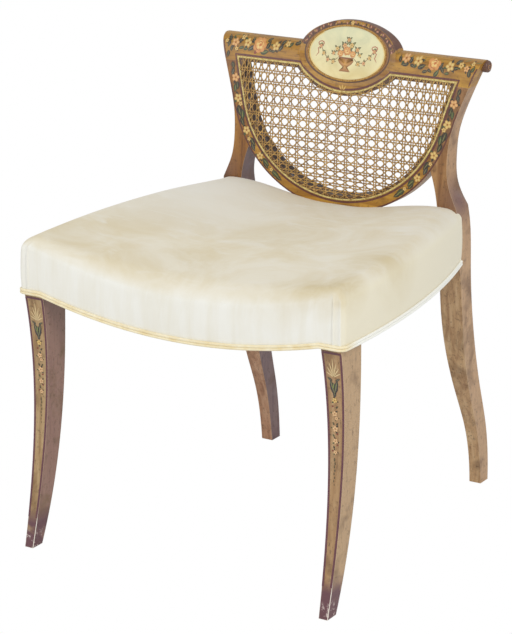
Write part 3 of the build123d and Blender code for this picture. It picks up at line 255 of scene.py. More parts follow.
def satinwood_pair(name, hand, *looks, edge_wear_and_highlight, toe=False):
    """The wood of a piece and of its edges, pale as rubbed wood and as a painted highlight."""
    return (satinwood(name + hand, *looks, toe=toe),
            satinwood(name + "_edge" + hand, *looks, edge_wear_and_highlight=edge_wear_and_highlight, toe=toe))


def painted_colours(name):
    """Oil paint under varnish, with its colour kept in the mesh and a little uneven."""
    paint = Shading(name, 0.42, coat=0.25)
    uneven = paint.mix(paint.mask(paint.noise(420.0, 4, 0.6), 0.3, 0.85), paint.paint(), (178, 138, 84))
    return paint.finished(paint.mix(0.25, paint.paint(), uneven), paint.noise(700.0, 3), 0.2, 0.15)


def cane_material(name, dark, light):
    cane = Shading(name, 0.45, coat=0.15)
    streaks = cane.noise(260.0, 4, 0.6, 0.2)
    tone = cane.ramp(streaks, (0.3, dark), (0.62, light))
    return cane.finished(cane.mix(0.9, tone, cane.paint(), "MULTIPLY"), streaks, 0.3, 0.2)


# Handled places on the velvet: centre, radius and strength.
STAINS = (((220, -240, 438), 54, 0.8), ((190, -222, 432), 60, 0.4), ((150, -245, 418), 60, 0.45),
          ((226, -120, 440), 75, 0.5), ((-215, -215, 430), 60, 0.3), ((-40, -200, 418), 75, 0.3),
          ((40, -60, 430), 80, 0.25))
PLEAT_TOP = (242, -263, 424)


def velvet_material(name):
    """Cream velvet: pale on the upright bands, mottled and handled on the top."""
    velvet = Shading(name, 0.92, sheen=0.25, specular=0.15)
    blotches = velvet.noise(9.0, 5, 0.65, 0.6)
    streaks = velvet.noise(1.0, 4, 0.55, 0.8, (14, 34, 20))
    brushed = velvet.noise(1.0, 4, 0.6, 0.3, (55, 55, 7))
    band = velvet.mix(velvet.mask(brushed, 0.40, 0.72), (240, 239, 231), (234, 231, 218))
    band = velvet.mix(velvet.facing("X", 0.4, 0.95), band, (237, 230, 206))
    crown = velvet.mix(velvet.mask(blotches, 0.38, 0.66), (236, 229, 209), (226, 213, 180))
    crown = velvet.mix(velvet.mask(streaks, 0.55, 0.8), crown, (238, 233, 218))
    # Painted highlight: the top turns paler towards the rear left.
    rear_left_highlight = velvet.times(velvet.near((-175, 60, 440), 220), 0.9)
    crown = velvet.mix(rear_left_highlight, crown, (238, 235, 224))
    tone = velvet.mix(velvet.facing("Z", 0.35, 0.97), band, crown)
    for centre, radius, strength in STAINS:
        stain = velvet.times(velvet.near(centre, radius), strength)
        tone = velvet.mix(velvet.times(stain, velvet.mask(blotches, 0.30, 0.55)), tone, (206, 186, 132))
    tone = velvet.mix(velvet.times(velvet.near(PLEAT_TOP, 11), 0.4), tone, (204, 182, 122))
    return velvet.finished(tone, velvet.plus(velvet.noise(1500.0, 3, 0.6), blotches), 0.25, 0.5)


def welt_material(name):
    """Cord covered in cream cloth, soiled along the front and white along the sides."""
    welt = Shading(name, 0.85, sheen=0.2, specular=0.2)
    front = welt.ramp(welt.noise(60.0, 3, 0.6), (0.3, (236, 219, 174)), (0.7, (246, 237, 208)))
    tone = welt.mix(welt.along("Y", -264, -235), front, (248, 248, 240))
    return welt.finished(tone, welt.noise(900.0, 2), 0.2, 0.2)


def plain_cloth(name, dark, light, weave):
    cloth = Shading(name, 0.95, sheen=0.1, specular=0.1)
    threads = cloth.noise(weave, 2, 0.5)
    return cloth.finished(cloth.ramp(threads, (0.35, dark), (0.65, light)), threads, 0.4, 0.5)


def shaded_wall_material(name):
    """Painted shade on the wood inside the caned opening: dark brown with grey patches."""
    wall = Shading(name, 0.6)
    patches = wall.noise(90.0, 3, 0.6, 0.4)
    streaks = wall.noise(260.0, 3, 0.6)
    tone = wall.mix(wall.mask(streaks, 0.4, 0.65), (58, 40, 32), (92, 66, 50))
    return wall.finished(wall.mix(wall.mask(patches, 0.54, 0.66), tone, (120, 116, 124)), streaks, 0.3, 0.3)


def metal_material(name, dark, light):
    metal = Shading(name, 0.45, metallic=1.0)
    dirt = metal.noise(300.0, 3)
    return metal.finished(metal.ramp(dirt, (0.35, dark), (0.65, light)), dirt, 0.1, 0.1)


def panel_material(name):
    """The oval's pale ground: cream, with cloudy green-grey above and warm cream below."""
    ground = Shading(name, 0.38, coat=0.35)
    clouds = ground.noise(26.0, 4, 0.6, 0.8)
    high = ground.mix(ground.mask(clouds, 0.4, 0.65), (222, 220, 178), (200, 206, 172))
    low = ground.mix(ground.mask(clouds, 0.4, 0.65), (234, 218, 160), (222, 200, 134))
    tone = ground.mix(ground.along("Z", 600, 675), low, high)
    return ground.finished(tone, ground.noise(500.0, 3), 0.15, 0.1)


HANDS = ("right", "left")
BACK_TONES = ((144, 94, 26), (172, 124, 40), (198, 150, 58))
TABLET_EDGE_TONES = ((84, 46, 32), (106, 64, 44), (132, 86, 60))
BEECH_TONES = ((176, 140, 96), (196, 162, 116), (210, 178, 134))
LEG_TONES = {"right": ((138, 100, 62), (171, 134, 92), (190, 158, 116)),
             "left": ((142, 108, 66), (174, 142, 98), (194, 166, 122))}
STILE_TONES = {"right": ((126, 84, 44), (156, 112, 66), (180, 138, 88)),
               "left": ((116, 70, 22), (148, 98, 36), (174, 124, 54))}
STILE_LOW = {"right": ((158, 118, 80), (194, 156, 112), (212, 180, 138)),
             "left": ((154, 106, 74), (188, 140, 106), (208, 168, 134))}
# Colours of the faces to the chair's right: painted light for the right-hand pieces, painted shade for the
# left-hand ones.
LEG_SIDE_LIGHT_AND_SHADE = {"right": (196, 164, 124), "left": (146, 106, 106)}
STILE_SIDE_LIGHT_AND_SHADE = {"right": (190, 152, 114), "left": (82, 70, 94)}
BACK_WOODS = satinwood_pair("satinwood_back", "", "x", BACK_TONES, edge_wear_and_highlight=0.12)
# Each hand gets its own leg and stile woods, so that their side faces carry painted light on the right and
# painted shade on the left.
LEG_WOODS = {hand: satinwood_pair("satinwood_leg", "_" + hand, "z", LEG_TONES[hand], None, LEG_SIDE_LIGHT_AND_SHADE[hand],
                                  0.7, edge_wear_and_highlight=0.3, toe=True) for hand in HANDS}
STILE_WOODS = {hand: satinwood_pair("satinwood_stile", "_" + hand, "z", STILE_TONES[hand], STILE_LOW[hand],
                                    STILE_SIDE_LIGHT_AND_SHADE[hand], 0.68, edge_wear_and_highlight=0.3) for hand in HANDS}
TABLET_EDGE = satinwood("satinwood_tablet_edge", "x", TABLET_EDGE_TONES)
BEECH = satinwood("beech", "x", BEECH_TONES)
PAINT = painted_colours("painted_ornament")
OPENING_WALL_SHADE = shaded_wall_material("opening_wall_painted_shade")
CANE = cane_material("cane_strands", (134, 92, 52), (226, 184, 108))
BINDING = cane_material("cane_binding_straw", (176, 146, 78), (232, 212, 142))
VELVET = velvet_material("cream_velvet")
WELT = welt_material("welt_cord_cream")
HESSIAN = plain_cloth("hessian", (132, 106, 70), (184, 156, 110), 1100)

# The material of each node of the frame, by the start of its name. The first that fits counts.
NODE_MATERIALS = (
    ("medallion_panel", panel_material("panel_ground")),
    ("medallion_bead", plain_cloth("worn_gold_paint", (150, 108, 56), (196, 156, 92), 500)),
    ("corner_block_screws", metal_material("screw_steel", (110, 108, 104), (160, 158, 152))),
    ("webbing", plain_cloth("jute_webbing", (120, 92, 58), (176, 144, 98), 900)),
    ("dust_cover", plain_cloth("dust_cloth", (34, 32, 32), (58, 55, 54), 1400)),
    ("hessian", HESSIAN), ("seat_stuffing", HESSIAN), ("seat_cover", VELVET), ("seat_welt", WELT),
    ("cane_binding", BINDING), ("cane", CANE), ("crest_rail", BACK_WOODS[0]), ("hoop_rail", BACK_WOODS[0]),
    ("front_leg_right", LEG_WOODS["right"][0]), ("front_leg_left", LEG_WOODS["left"][0]),
    ("rear_stile_right", STILE_WOODS["right"][0]), ("rear_stile_left", STILE_WOODS["left"][0]),
    ("", BEECH),
)
for name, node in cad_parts.items():
    node.data.materials.clear()
    node.data.materials.append(next(material for start, material in NODE_MATERIALS if name.startswith(start)))


# ---------------------------------------------------------------- pieces
def placed(name, data):
    """A new object in the scene."""
    made = bpy.data.objects.new(name, data)
    bpy.context.scene.collection.objects.link(made)
    return made


def add_piece(name, vertices, faces, material, slot, colours=None):
    """A mesh piece in millimetres, riding on the chair."""
    mesh = bpy.data.meshes.new(name)
    mesh.from_pydata([Vector(point) * MM for point in vertices], [], faces)
    mesh.materials.append(material)
    if colours:
        layer = mesh.color_attributes.new("paint", "FLOAT_COLOR", "POINT")
        layer.data.foreach_set("color", [value for colour in colours for value in colour])
    mesh.shade_smooth()
    mesh.update()
    piece = placed(name, mesh)
    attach(piece, "root")
    return piece


class Gathered:
    """A mesh gathered from many parts, with a colour at each vertex."""

    def __init__(self):
        self.vertices = []
        self.faces = []
        self.colours = []

    def piece(self, name, material, slot):
        return add_piece(name, self.vertices, self.faces, material, slot, self.colours)


def ring_faces(count, rings, start=0, closed=True, inward=False):
    """Four-sided faces between rings of this many points that follow each other."""
    faces = []
    for low in range(start, start + (rings - 1) * count, count):
        for corner in range(count if closed else count - 1):
            a = low + corner
            b = low + (corner + 1) % count
            faces.append((a, a + count, b + count, b) if inward else (a, b, b + count, a + count))
    return faces


def round_turns(count):
    return [2 * pi * index / count for index in range(count)]


def crossways(points, closed=False):
    """At each point of a route in a plane, the unit vector across it to the right of its course."""
    count = len(points)
    across = []
    for index, point in enumerate(points):
        ax, ay = (points[index - 1] if closed or index else point)[:2]
        bx, by = (points[(index + 1) % count] if closed or index < count - 1 else point)[:2]
        length = hypot(bx - ax, by - ay) or 1.0
        across.append(((by - ay) / length, (ax - bx) / length))
    return across


def cleaned(mesh, weld=False):
    """Turn a mesh's faces outwards, after welding its flat facets together where asked."""
    shape = bmesh.new()
    shape.from_mesh(mesh)
    if weld:
        bmesh.ops.remove_doubles(shape, verts=shape.verts, dist=0.002 * MM)
        bmesh.ops.dissolve_limit(shape, angle_limit=radians(0.4), verts=shape.verts, edges=shape.edges)
    bmesh.ops.recalc_face_normals(shape, faces=shape.faces)
    shape.to_mesh(mesh)
    shape.free()


# ---------------------------------------------------------------- the caned opening's outline
def arc(centre, radius, start, end):
    """Points on an arc in the plane of the back, as (x, z)."""
    count = max(2, round(abs((end - start) * radius) / OUTLINE_STEP))
    turns = [start + (end - start) * share / count for share in range(count + 1)]
    return [(centre[0] + radius * cos(turn), centre[1] + radius * sin(turn)) for turn in turns]


LEAVE_Z = HOOP_Z - sqrt(HOOP_INNER_R ** 2 - LEAVE_X ** 2)
LEAVE_TURN = atan2(LEAVE_Z - HOOP_Z, LEAVE_X)
FLARE_CHORD = hypot(OPENING_TOP_X - LEAVE_X, CREST_Z - LEAVE_Z)
FLARE_BEND = atan2(CREST_Z - LEAVE_Z, OPENING_TOP_X - LEAVE_X) - (LEAVE_TURN + pi / 2)
FLARE_RADIUS = FLARE_CHORD / (2 * sin(FLARE_BEND))
FLARE_CENTRE = (LEAVE_X - FLARE_RADIUS * cos(LEAVE_TURN), LEAVE_Z - FLARE_RADIUS * sin(LEAVE_TURN))
APRON_RADIUS = (APRON_HALF ** 2 + APRON_DROP ** 2) / (2 * APRON_DROP)
APRON_CENTRE = (0.0, CREST_Z - APRON_DROP + APRON_RADIUS)
APRON_TURN = atan2(CREST_Z - APRON_CENTRE[1], APRON_HALF)


def opening_side():
    """Right-hand side of the opening, from its lowest point up to the crest."""
    round_part = arc((0.0, HOOP_Z), HOOP_INNER_R, -pi / 2, LEAVE_TURN)
    flare = arc(FLARE_CENTRE, FLARE_RADIUS, LEAVE_TURN, LEAVE_TURN + 2 * FLARE_BEND)
    return round_part + flare[1:]


def opening_outline():
    """The whole outline, anticlockwise seen from the front, from the lowest point."""
    span = OPENING_TOP_X - APRON_HALF
    steps = round(span / OUTLINE_STEP)
    level = [(OPENING_TOP_X - span * step / steps, CREST_Z) for step in range(1, steps)]
    apron = arc(APRON_CENTRE, APRON_RADIUS, APRON_TURN, -pi / 2)
    half = opening_side() + level + apron
    return half + [(-x, z) for x, z in reversed(half[1:-1])]


def outward(points, distance, closed=True):
    """The outline moved away from the opening by a distance, with mitred corners."""
    moved = []
    count = len(points)
    for index, (x, z) in enumerate(points):
        before = points[index - 1] if closed or index else points[index]
        after = points[(index + 1) % count] if closed or index < count - 1 else points[index]
        normals = []
        for (ax, az), (bx, bz) in ((before, (x, z)), ((x, z), after)):
            length = hypot(bx - ax, bz - az)
            if length:
                normals.append(((bz - az) / length, -(bx - ax) / length))
        nx, nz = (sum(parts) / len(normals) for parts in zip(*normals))
        stretch = max(nx * nx + nz * nz, 0.3)
        moved.append((x + nx * distance / stretch, z + nz * distance / stretch))
    return moved


OPENING = opening_outline()


def in_opening(x, z, margin=0.0):
    """Whether a point of the back's plane lies in the caned opening, grown by a margin."""
    x = abs(x)
    if z > CREST_Z + margin:
        return False
    if hypot(x, z - APRON_CENTRE[1]) < APRON_RADIUS - margin:
        return False
    if z > LEAVE_Z:
        reach = hypot(x - FLARE_CENTRE[0], z - FLARE_CENTRE[1])
        return FLARE_RADIUS - copysign(reach, FLARE_RADIUS) > -margin
    return hypot(x, z - HOOP_Z) < HOOP_INNER_R + margin


def tube(route, radius, sides=10, pole=(0, 0, 1)):
    """A round tube with flat ends along a route that never runs along its pole."""
    vertices = []
    last = len(route) - 1
    for index, point in enumerate(route):
        ahead = (Vector(route[min(last, index + 1)]) - Vector(route[max(0, index - 1)])).normalized()
        across = ahead.cross(Vector(pole)).normalized()
        up = across.cross(ahead)
        for turn in round_turns(sides):
            vertices.append(tuple(Vector(point) + across * (cos(turn) * radius) + up * (sin(turn) * radius)))
    ends = [tuple(range(sides)), tuple(last * sides + corner for corner in reversed(range(sides)))]
    return vertices, ring_faces(sides, len(route)) + ends


WALL_REACH = 1.2              # the inner wall lies this near the opening's outline
WALL_SLOT = 2
TABLET_SLOT = 3
EDGE_WIDTH = 0.7


def wood_slot(polygon):
    """Material slot of a face: the opening's inner wall, the tablet's edge, or else plain wood."""
    x, _, z = polygon.center / MM
    if abs(polygon.normal.y) < 0.5 and in_opening(x, z, WALL_REACH) and not in_opening(x, z, -WALL_REACH):
        return WALL_SLOT
    if polygon.normal.y > -0.4 and z > CREST_TOP_Z + 2.0 and abs(x) < TABLET_HALF_WIDTH:
        return TABLET_SLOT
    return 0


def finish_wood(node, woods):
    """Show a copy of a wooden node with softened edges in place of sharp ones, pale as slightly rubbed wood
    and as a painted highlight.
    """
    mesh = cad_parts[node].data.copy()
    mesh.name = node + "_finish"
    mesh.materials.clear()
    for material in (*woods, OPENING_WALL_SHADE, TABLET_EDGE):
        mesh.materials.append(material)
    cleaned(mesh, weld=True)
    mesh.polygons.foreach_set("material_index", [wood_slot(polygon) for polygon in mesh.polygons])
    mesh.shade_smooth()
    mesh.set_sharp_from_angle(angle=radians(32))
    piece = placed(mesh.name, mesh)
    bevel = piece.modifiers.new("soft_edges", "BEVEL")
    bevel.width = EDGE_WIDTH * MM
    bevel.segments = 2
    bevel.limit_method = "ANGLE"
    bevel.angle_limit = radians(35)
    bevel.material = 1
    bevel.harden_normals = True
    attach(piece, "root")
    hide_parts(node)


for hand in HANDS:
    finish_wood("front_leg_" + hand, LEG_WOODS[hand])
    finish_wood("rear_stile_" + hand, STILE_WOODS[hand])
    finish_wood("hoop_rail_" + hand, BACK_WOODS)
finish_wood("crest_rail", BACK_WOODS)


# ---------------------------------------------------------------- cane
STRAND_WIDTH = 1.65
STRAND_EDGE_SHADE = 0.42            # painted shade: how dark a strand's edges and back are against its lit middle
STRAND_THICK = 0.8
STRAND_STEP = 1.9             # between the points of a strand's route
TWINS = (-1.7, 1.7)           # the two strands of a pair, off its middle
CANE_STAND = 0.55             # cane's middle plane in front of the wood's face
WEAVE = 0.4
HOLE_DIVE = 1.6               # strand ends turn down into their holes by this
COLUMN_PITCH = 16.4           # both pitches close up towards the rim, as in the CAD
ROW_PITCH = 15.4
CANE_CLOSING = HOOP_INNER_R + 27.0
CANE_CENTRE_X = -3.0
TOP_ROW_RISE = 5.5
RIM_GAP = 2.0                 # no strand runs closer to the rim


def closing_up(pitch, start=0.0):
    """Distances from the middle of the weave, closer together towards the rim."""
    last = int(pi / 2 * CANE_CLOSING / pitch)
    return [CANE_CLOSING * sin((start + step * pitch) / CANE_CLOSING) for step in range(-last, last)]


COLUMNS = [CANE_CENTRE_X + x for x in closing_up(COLUMN_PITCH)]
COLUMNS = [x for x in COLUMNS if abs(x) < OPENING_TOP_X - RIM_GAP]
ROWS = sorted(HOOP_Z - z for z in closing_up(ROW_PITCH, -TOP_ROW_RISE))
ROWS = [z for z in ROWS if HOOP_Z - HOOP_INNER_R + RIM_GAP < z < CREST_Z - RIM_GAP]


def within_opening(route):
    """The stretches of a fine route that lie between the holes, each turned down at both ends."""
    runs = [[]]
    for point in route:
        if in_opening(point[0], point[1], HOLE_SET):
            runs[-1].append(point)
        elif runs[-1]:
            runs.append([])
    kept = [run for run in runs if len(run) > 3 and any(in_opening(x, z) for x, z, _ in run)]
    for run in kept:
        for end in (0, -1):
            x, z, rise = run[end]
            run[end] = (x, z, rise - HOLE_DIVE)
    return kept


def fine_route(knots):
    """Evenly spaced points along knots of (x, z, rise), with the rise eased between them."""
    route = []
    for (ax, az, ar), (bx, bz, br) in zip(knots, knots[1:]):
        count = max(1, round(hypot(bx - ax, bz - az) / STRAND_STEP))
        for index in range(count):
            share = index / count
            eased = (1 - cos(pi * share)) / 2
            route.append((ax + (bx - ax) * share, az + (bz - az) * share, ar + (br - ar) * eased))
    route.append(knots[-1])
    return route


STRAND_SECTION = [(-1.0, 0.0), (-0.6, 0.8), (0.0, 1.0), (0.6, 0.8), (1.0, 0.0), (0.5, -0.6), (-0.5, -0.6)]


class Strands(Gathered):
    """Many flat-oval strands gathered in one mesh."""

    def add(self, route, width, tint):
        """Sweep the strand's section along a route of (x, z, rise) over the back's face."""
        ring = len(STRAND_SECTION)
        start = len(self.vertices)
        last = start + (len(route) - 1) * ring
        for (x, z, rise), (nx, nz) in zip(route, crossways(route)):
            face = back_y(z) - CANE_STAND
            for across, up in STRAND_SECTION:
                offset = across * width / 2
                self.vertices.append((x - nx * offset, face - rise - up * STRAND_THICK / 2, z - nz * offset))
                # Painted shade: each strand is darker at its edges and back and lighter along its top.
                shade = STRAND_EDGE_SHADE + (1 - STRAND_EDGE_SHADE) * max(0.0, up)
                self.colours.append((tint[0] * shade, tint[1] * shade, tint[2] * shade, 1.0))
        self.faces += ring_faces(ring, len(route), start)
        self.faces.append(tuple(start + corner for corner in reversed(range(ring))))
        self.faces.append(tuple(last + corner for corner in range(ring)))


def strand_tint(chance):
    share = chance.uniform(0.7, 1.0)
    return share, share * chance.uniform(0.93, 1.0), share * chance.uniform(0.82, 0.98)


def straight_strands(places, crossings, upright, seed):
    """Pairs of upright or level strands, woven over and under the pairs they cross."""
    chance = random.Random(seed)
    strands = Strands()
    for place in places:
        for twin, shift in enumerate(TWINS):
            along = place + shift + chance.uniform(-0.25, 0.25)
            knots = []
            for crossing in crossings:
                for cross_twin, cross_shift in enumerate(TWINS):
                    over = WEAVE if (twin != cross_twin) == upright else -WEAVE
                    across = crossing + cross_shift
                    knots.append((along, across, over) if upright else (across, along, over))
            knots.sort(key=lambda knot: knot[1] if upright else knot[0])
            for route in within_opening(fine_route(knots)):
                strands.add(route, STRAND_WIDTH, strand_tint(chance))
    return strands


def beyond(places):
    """The places with one more past each end."""
    return [2 * places[0] - places[1], *places, 2 * places[-1] - places[-2]]


def halves(places):
    """Each place followed by the middle of the way to the next."""
    both = []
    for place, following in zip(places, places[1:]):
        both += [place, (place + following) / 2]
    return both + [places[-1]]


def diagonal_strands(direction, rise, seed):
    """Strands that cross halfway between the pairs and leave an eight-sided hole in each cell."""
    chance = random.Random(seed)
    strands = Strands()
    columns = halves(beyond(COLUMNS))
    rows = halves(beyond(ROWS))[::direction]
    for shift in range(2 - len(rows), len(columns), 2):
        knots = [(columns[row + shift], z, rise) for row, z in enumerate(rows)
                 if 0 <= row + shift < len(columns)]
        if len(knots) > 1:
            for route in within_opening(fine_route(knots)):
                strands.add(route, STRAND_WIDTH * 0.95, strand_tint(chance))
    return strands


for node, strands in (("cane_verticals", straight_strands(COLUMNS, beyond(ROWS), True, 3)),
                      ("cane_horizontals", straight_strands(ROWS, beyond(COLUMNS), False, 5)),
                      ("cane_diagonals_rising", diagonal_strands(1, 0.75, 7)),
                      ("cane_diagonals_falling", diagonal_strands(-1, -0.6, 11))):
    woven = strands.piece(node + "_woven", CANE, "cane")
    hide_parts(node)


# ---------------------------------------------------------------- paint and lines on the wood
class Painting(Gathered):
    """Flat strokes laid on the wood, seen from the front, each a little above the last."""

    def __init__(self, *nodes):
        super().__init__()
        vertices = []
        faces = []
        for node in nodes:
            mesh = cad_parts[node].data
            start = len(vertices)
            vertices += [vertex.co.copy() for vertex in mesh.vertices]
            faces += [[start + corner for corner in polygon.vertices] for polygon in mesh.polygons]
        self.surface = BVHTree.FromPolygons(vertices, faces)

    def land(self, x, z, lift):
        """Where a point of the front view meets the wood, raised towards the viewer."""
        place = self.surface.ray_cast(Vector((x * MM, -1.0, z * MM)), Vector((0, 1, 0)))[0]
        return None if place is None else tuple(place / MM - Vector((0, lift, 0)))

    def shape(self, outline, inner, outer, lift, rings=(0.55, 1.0)):
        """A filled shape whose colour turns from its middle to its rim."""
        count = len(outline)
        middle = [sum(values) / count for values in zip(*outline)]
        points = [(*middle, 0.0)]
        for ring in rings:
            points += [(*blended(middle, point, ring), ring) for point in outline]
        landed = [self.land(x, z, lift) for x, z, _ in points]
        if None in landed:
            return
        start = len(self.vertices)
        ring_start = start + 1
        self.vertices += landed
        self.colours += [blended(linear(inner), linear(outer), ring) for _, _, ring in points]
        self.faces += [(start, ring_start + corner, ring_start + (corner + 1) % count)
                       for corner in range(count)]
        self.faces += ring_faces(count, len(rings), ring_start, inward=True)

    def line(self, points, width, colour, lift, closed=False, taper=False):
        """A painted line of even width, or one that thins towards both ends."""
        previous = None
        first = None
        for index, ((x, z), (nx, nz)) in enumerate(zip(points, crossways(points, closed))):
            share = sin(pi * index / (len(points) - 1)) if taper else 1.0
            half = max(width * share, 0.25 * width) / 2
            landed = [self.land(x + nx * side, z + nz * side, lift) for side in (-half, 0, half)]
            if None in landed:
                previous = None
                continue
            start = len(self.vertices)
            self.vertices += landed
            self.colours += [linear(colour)] * 3
            self.bridge(previous, start)
            previous = start
            first = start if first is None else first
        if closed:
            self.bridge(previous, first)

    def bridge(self, before, after):
        """Two faces between one cross-row of a line and the next."""
        if before is not None:
            self.faces += [(before, before + 1, after + 1, after),
                           (before + 1, before + 2, after + 2, after + 1)]

    def oval(self, x, z, length, width, angle, inner, outer, lift, point=0.0):
        """A petal or leaf: an oval, drawn to a point at its far end as much as asked."""
        outline = []
        for turn in round_turns(10):
            along = cos(turn) * length / 2
            across = sin(turn) * width / 2 * (1 - point * max(0.0, cos(turn)))
            outline.append((x + along * cos(angle) - across * sin(angle),
                            z + along * sin(angle) + across * cos(angle)))
        self.shape(outline, inner, outer, lift)

    def petals(self, x, z, turns, reach, length, width, inner, outer, lift):
        """Ovals round a middle, one at each turn, each a little above the last."""
        for number, turn in enumerate(turns):
            self.oval(x + cos(turn) * reach, z + sin(turn) * reach, length, width, turn, inner, outer,
                      lift + 0.01 * number)


MAROON = (84, 30, 40)
EDGE_MAROON = (84, 34, 38)
UMBER = (70, 38, 26)
UMBER_PATINA_AND_SHADE = (74, 44, 30)
STRAW = (220, 190, 104)
PEACH = (222, 162, 98)
BLUSH = (226, 186, 142)
ROSE = (186, 92, 54)
CREAM = (242, 218, 150)
LEAF_DARK = (26, 34, 34)
LEAF_GREEN = (46, 74, 44)
LEAF_BLUE = (34, 46, 60)
LEAVES = {"dark": LEAF_DARK, "green": LEAF_GREEN, "blue": LEAF_BLUE}
BLOSSOMS = {"yellow": STRAW, "small": STRAW, "peach": PEACH, "blush": BLUSH}

LINE_LIFT = 0.12
OVER_LINE_LIFT = 0.16
LEAF_LIFT = 0.20
PETAL_LIFT = 0.28
HEART_LIFT = 0.36


def rose(paint, x, z, size, chance):
    """A full-blown rose: outer petals, a paler ring and a dark swirled heart."""
    turns = [2 * pi * number / 7 + chance.uniform(-0.2, 0.2) for number in range(7)]
    paint.petals(x, z, turns, size * 0.30, size * 0.46, size * 0.42, PEACH, (208, 138, 74), PETAL_LIFT)
    turns = [turn + 0.4 for turn in round_turns(5)]
    paint.petals(x, z, turns, size * 0.14, size * 0.34, size * 0.28, CREAM, (228, 176, 100),
                 PETAL_LIFT + 0.08)
    paint.oval(x + size * 0.05, z, size * 0.26, size * 0.18, 0.6, ROSE, (214, 146, 84), HEART_LIFT + 0.1)
    for reach, start, step, tone in ((0.2, 0.2, 0.6, ROSE), (0.34, 3.2, 0.5, (176, 96, 52))):
        turns = [start + step * number for number in range(5)]
        swirl = [(x + size * reach * cos(turn), z + size * reach * sin(turn)) for turn in turns]
        paint.line(swirl, size * 0.05, tone, HEART_LIFT + 0.16, taper=True)


def blossom(paint, x, z, size, petal, chance):
    """A five-petalled flower with a dark eye, on a few leaves that peep out behind it."""
    lean = chance.uniform(0, 1.2)
    for turn, tone in zip(round_turns(3), (LEAF_DARK, LEAF_GREEN, LEAF_DARK)):
        turn += 2 * lean
        paint.oval(x + cos(turn) * size * 0.5, z + sin(turn) * size * 0.5, size * 0.62, size * 0.34,
                   turn, tone, tone, OVER_LINE_LIFT, point=0.6)
    paint.petals(x, z, [turn + lean for turn in round_turns(5)], size * 0.28, size * 0.5, size * 0.4,
                 blended(petal, (250, 232, 176), 0.45), blended(petal, (160, 92, 40), 0.35), PETAL_LIFT)
    paint.oval(x, z, size * 0.22, size * 0.22, 0, (120, 62, 34), (176, 112, 44), HEART_LIFT)


def leaf(paint, x, z, length, angle, tone, width_share=0.56):
    """A pointed leaf with a lighter stroke along its rib."""
    paint.oval(x, z, length, length * width_share, angle, tone, blended(tone, (20, 24, 26), 0.4),
               LEAF_LIFT, point=0.7)
    rib = [(x + cos(angle) * length * share, z + sin(angle) * length * share)
           for share in (-0.36, -0.1, 0.15, 0.36)]
    paint.line(rib, length * 0.09, blended(tone, (176, 176, 96), 0.6), LEAF_LIFT + 0.06, taper=True)


def paint_mark(paint, kind, x, z, size, angle, chance):
    """One mark of a garland; the angle in degrees turns a leaf."""
    if kind == "rose":
        rose(paint, x, z, size, chance)
    elif kind in BLOSSOMS:
        blossom(paint, x, z, size, BLOSSOMS[kind], chance)
    elif kind == "rosedot":
        paint.oval(x, z, size, size * 0.8, 0.5, (150, 52, 40), (110, 40, 34), LEAF_LIFT)
    else:
        leaf(paint, x, z, size, radians(angle), LEAVES[kind])


back_paint = Painting("crest_rail", "hoop_rail_right", "hoop_rail_left", "rear_stile_right",
                      "rear_stile_left")
# A dark brown band along the opening's edge, under the binding and its loops: patina on the rounded edge and
# painted shade between the loops.
back_paint.line(outward(OPENING, 2.4), 4.2, UMBER_PATINA_AND_SHADE, LINE_LIFT, closed=True)
back_paint.line(outward(OPENING, LINE_SET), 2.7, MAROON, LINE_LIFT, closed=True)
FACE_DEPTH = 3.0              # what lies further back than this is no longer the back's face
FACE_STEP = 0.5
EDGE_LINE_R = HOOP_OUTER_R - 1.2
EDGE_LINE_WIDTH = 2.2
EDGE_LINE_INSET = 1.4
NECK_Z = 541.0                # where the outer line leaves the hoop for the stile's edge


def face_edge(paint, z, x):
    """Where the back's face ends at height z, looking outwards from x."""
    while True:
        place = paint.land(x + FACE_STEP, z, 0.0)
        if place is None or place[1] > back_y(z) + FACE_DEPTH:
            return x
        x += FACE_STEP


def edge_route(paint):
    """The outer line: round the hoop, then up the stile's edge to the end of the crest."""
    neck_turn = atan2(NECK_Z - HOOP_Z, sqrt(EDGE_LINE_R ** 2 - (NECK_Z - HOOP_Z) ** 2))
    route = arc((0.0, HOOP_Z), EDGE_LINE_R, -pi / 2, neck_turn)
    heights = [NECK_Z + 4.0 * step for step in range(2, 25)]
    return route + [(face_edge(paint, z, 160.0) - EDGE_LINE_INSET, z) for z in heights]


for side in (1, -1):
    edge_line = [(side * x, z) for x, z in edge_route(back_paint)]
    back_paint.line(edge_line, EDGE_LINE_WIDTH, EDGE_MAROON, LINE_LIFT)


def band_point(turn, inset, side):
    """A point of the painted band, this share of the way down from the crest to its foot."""
    route = outward(opening_side(), inset, closed=False)
    x, z = route[round((1 - turn) * (len(route) - 1))]
    return side * x, z


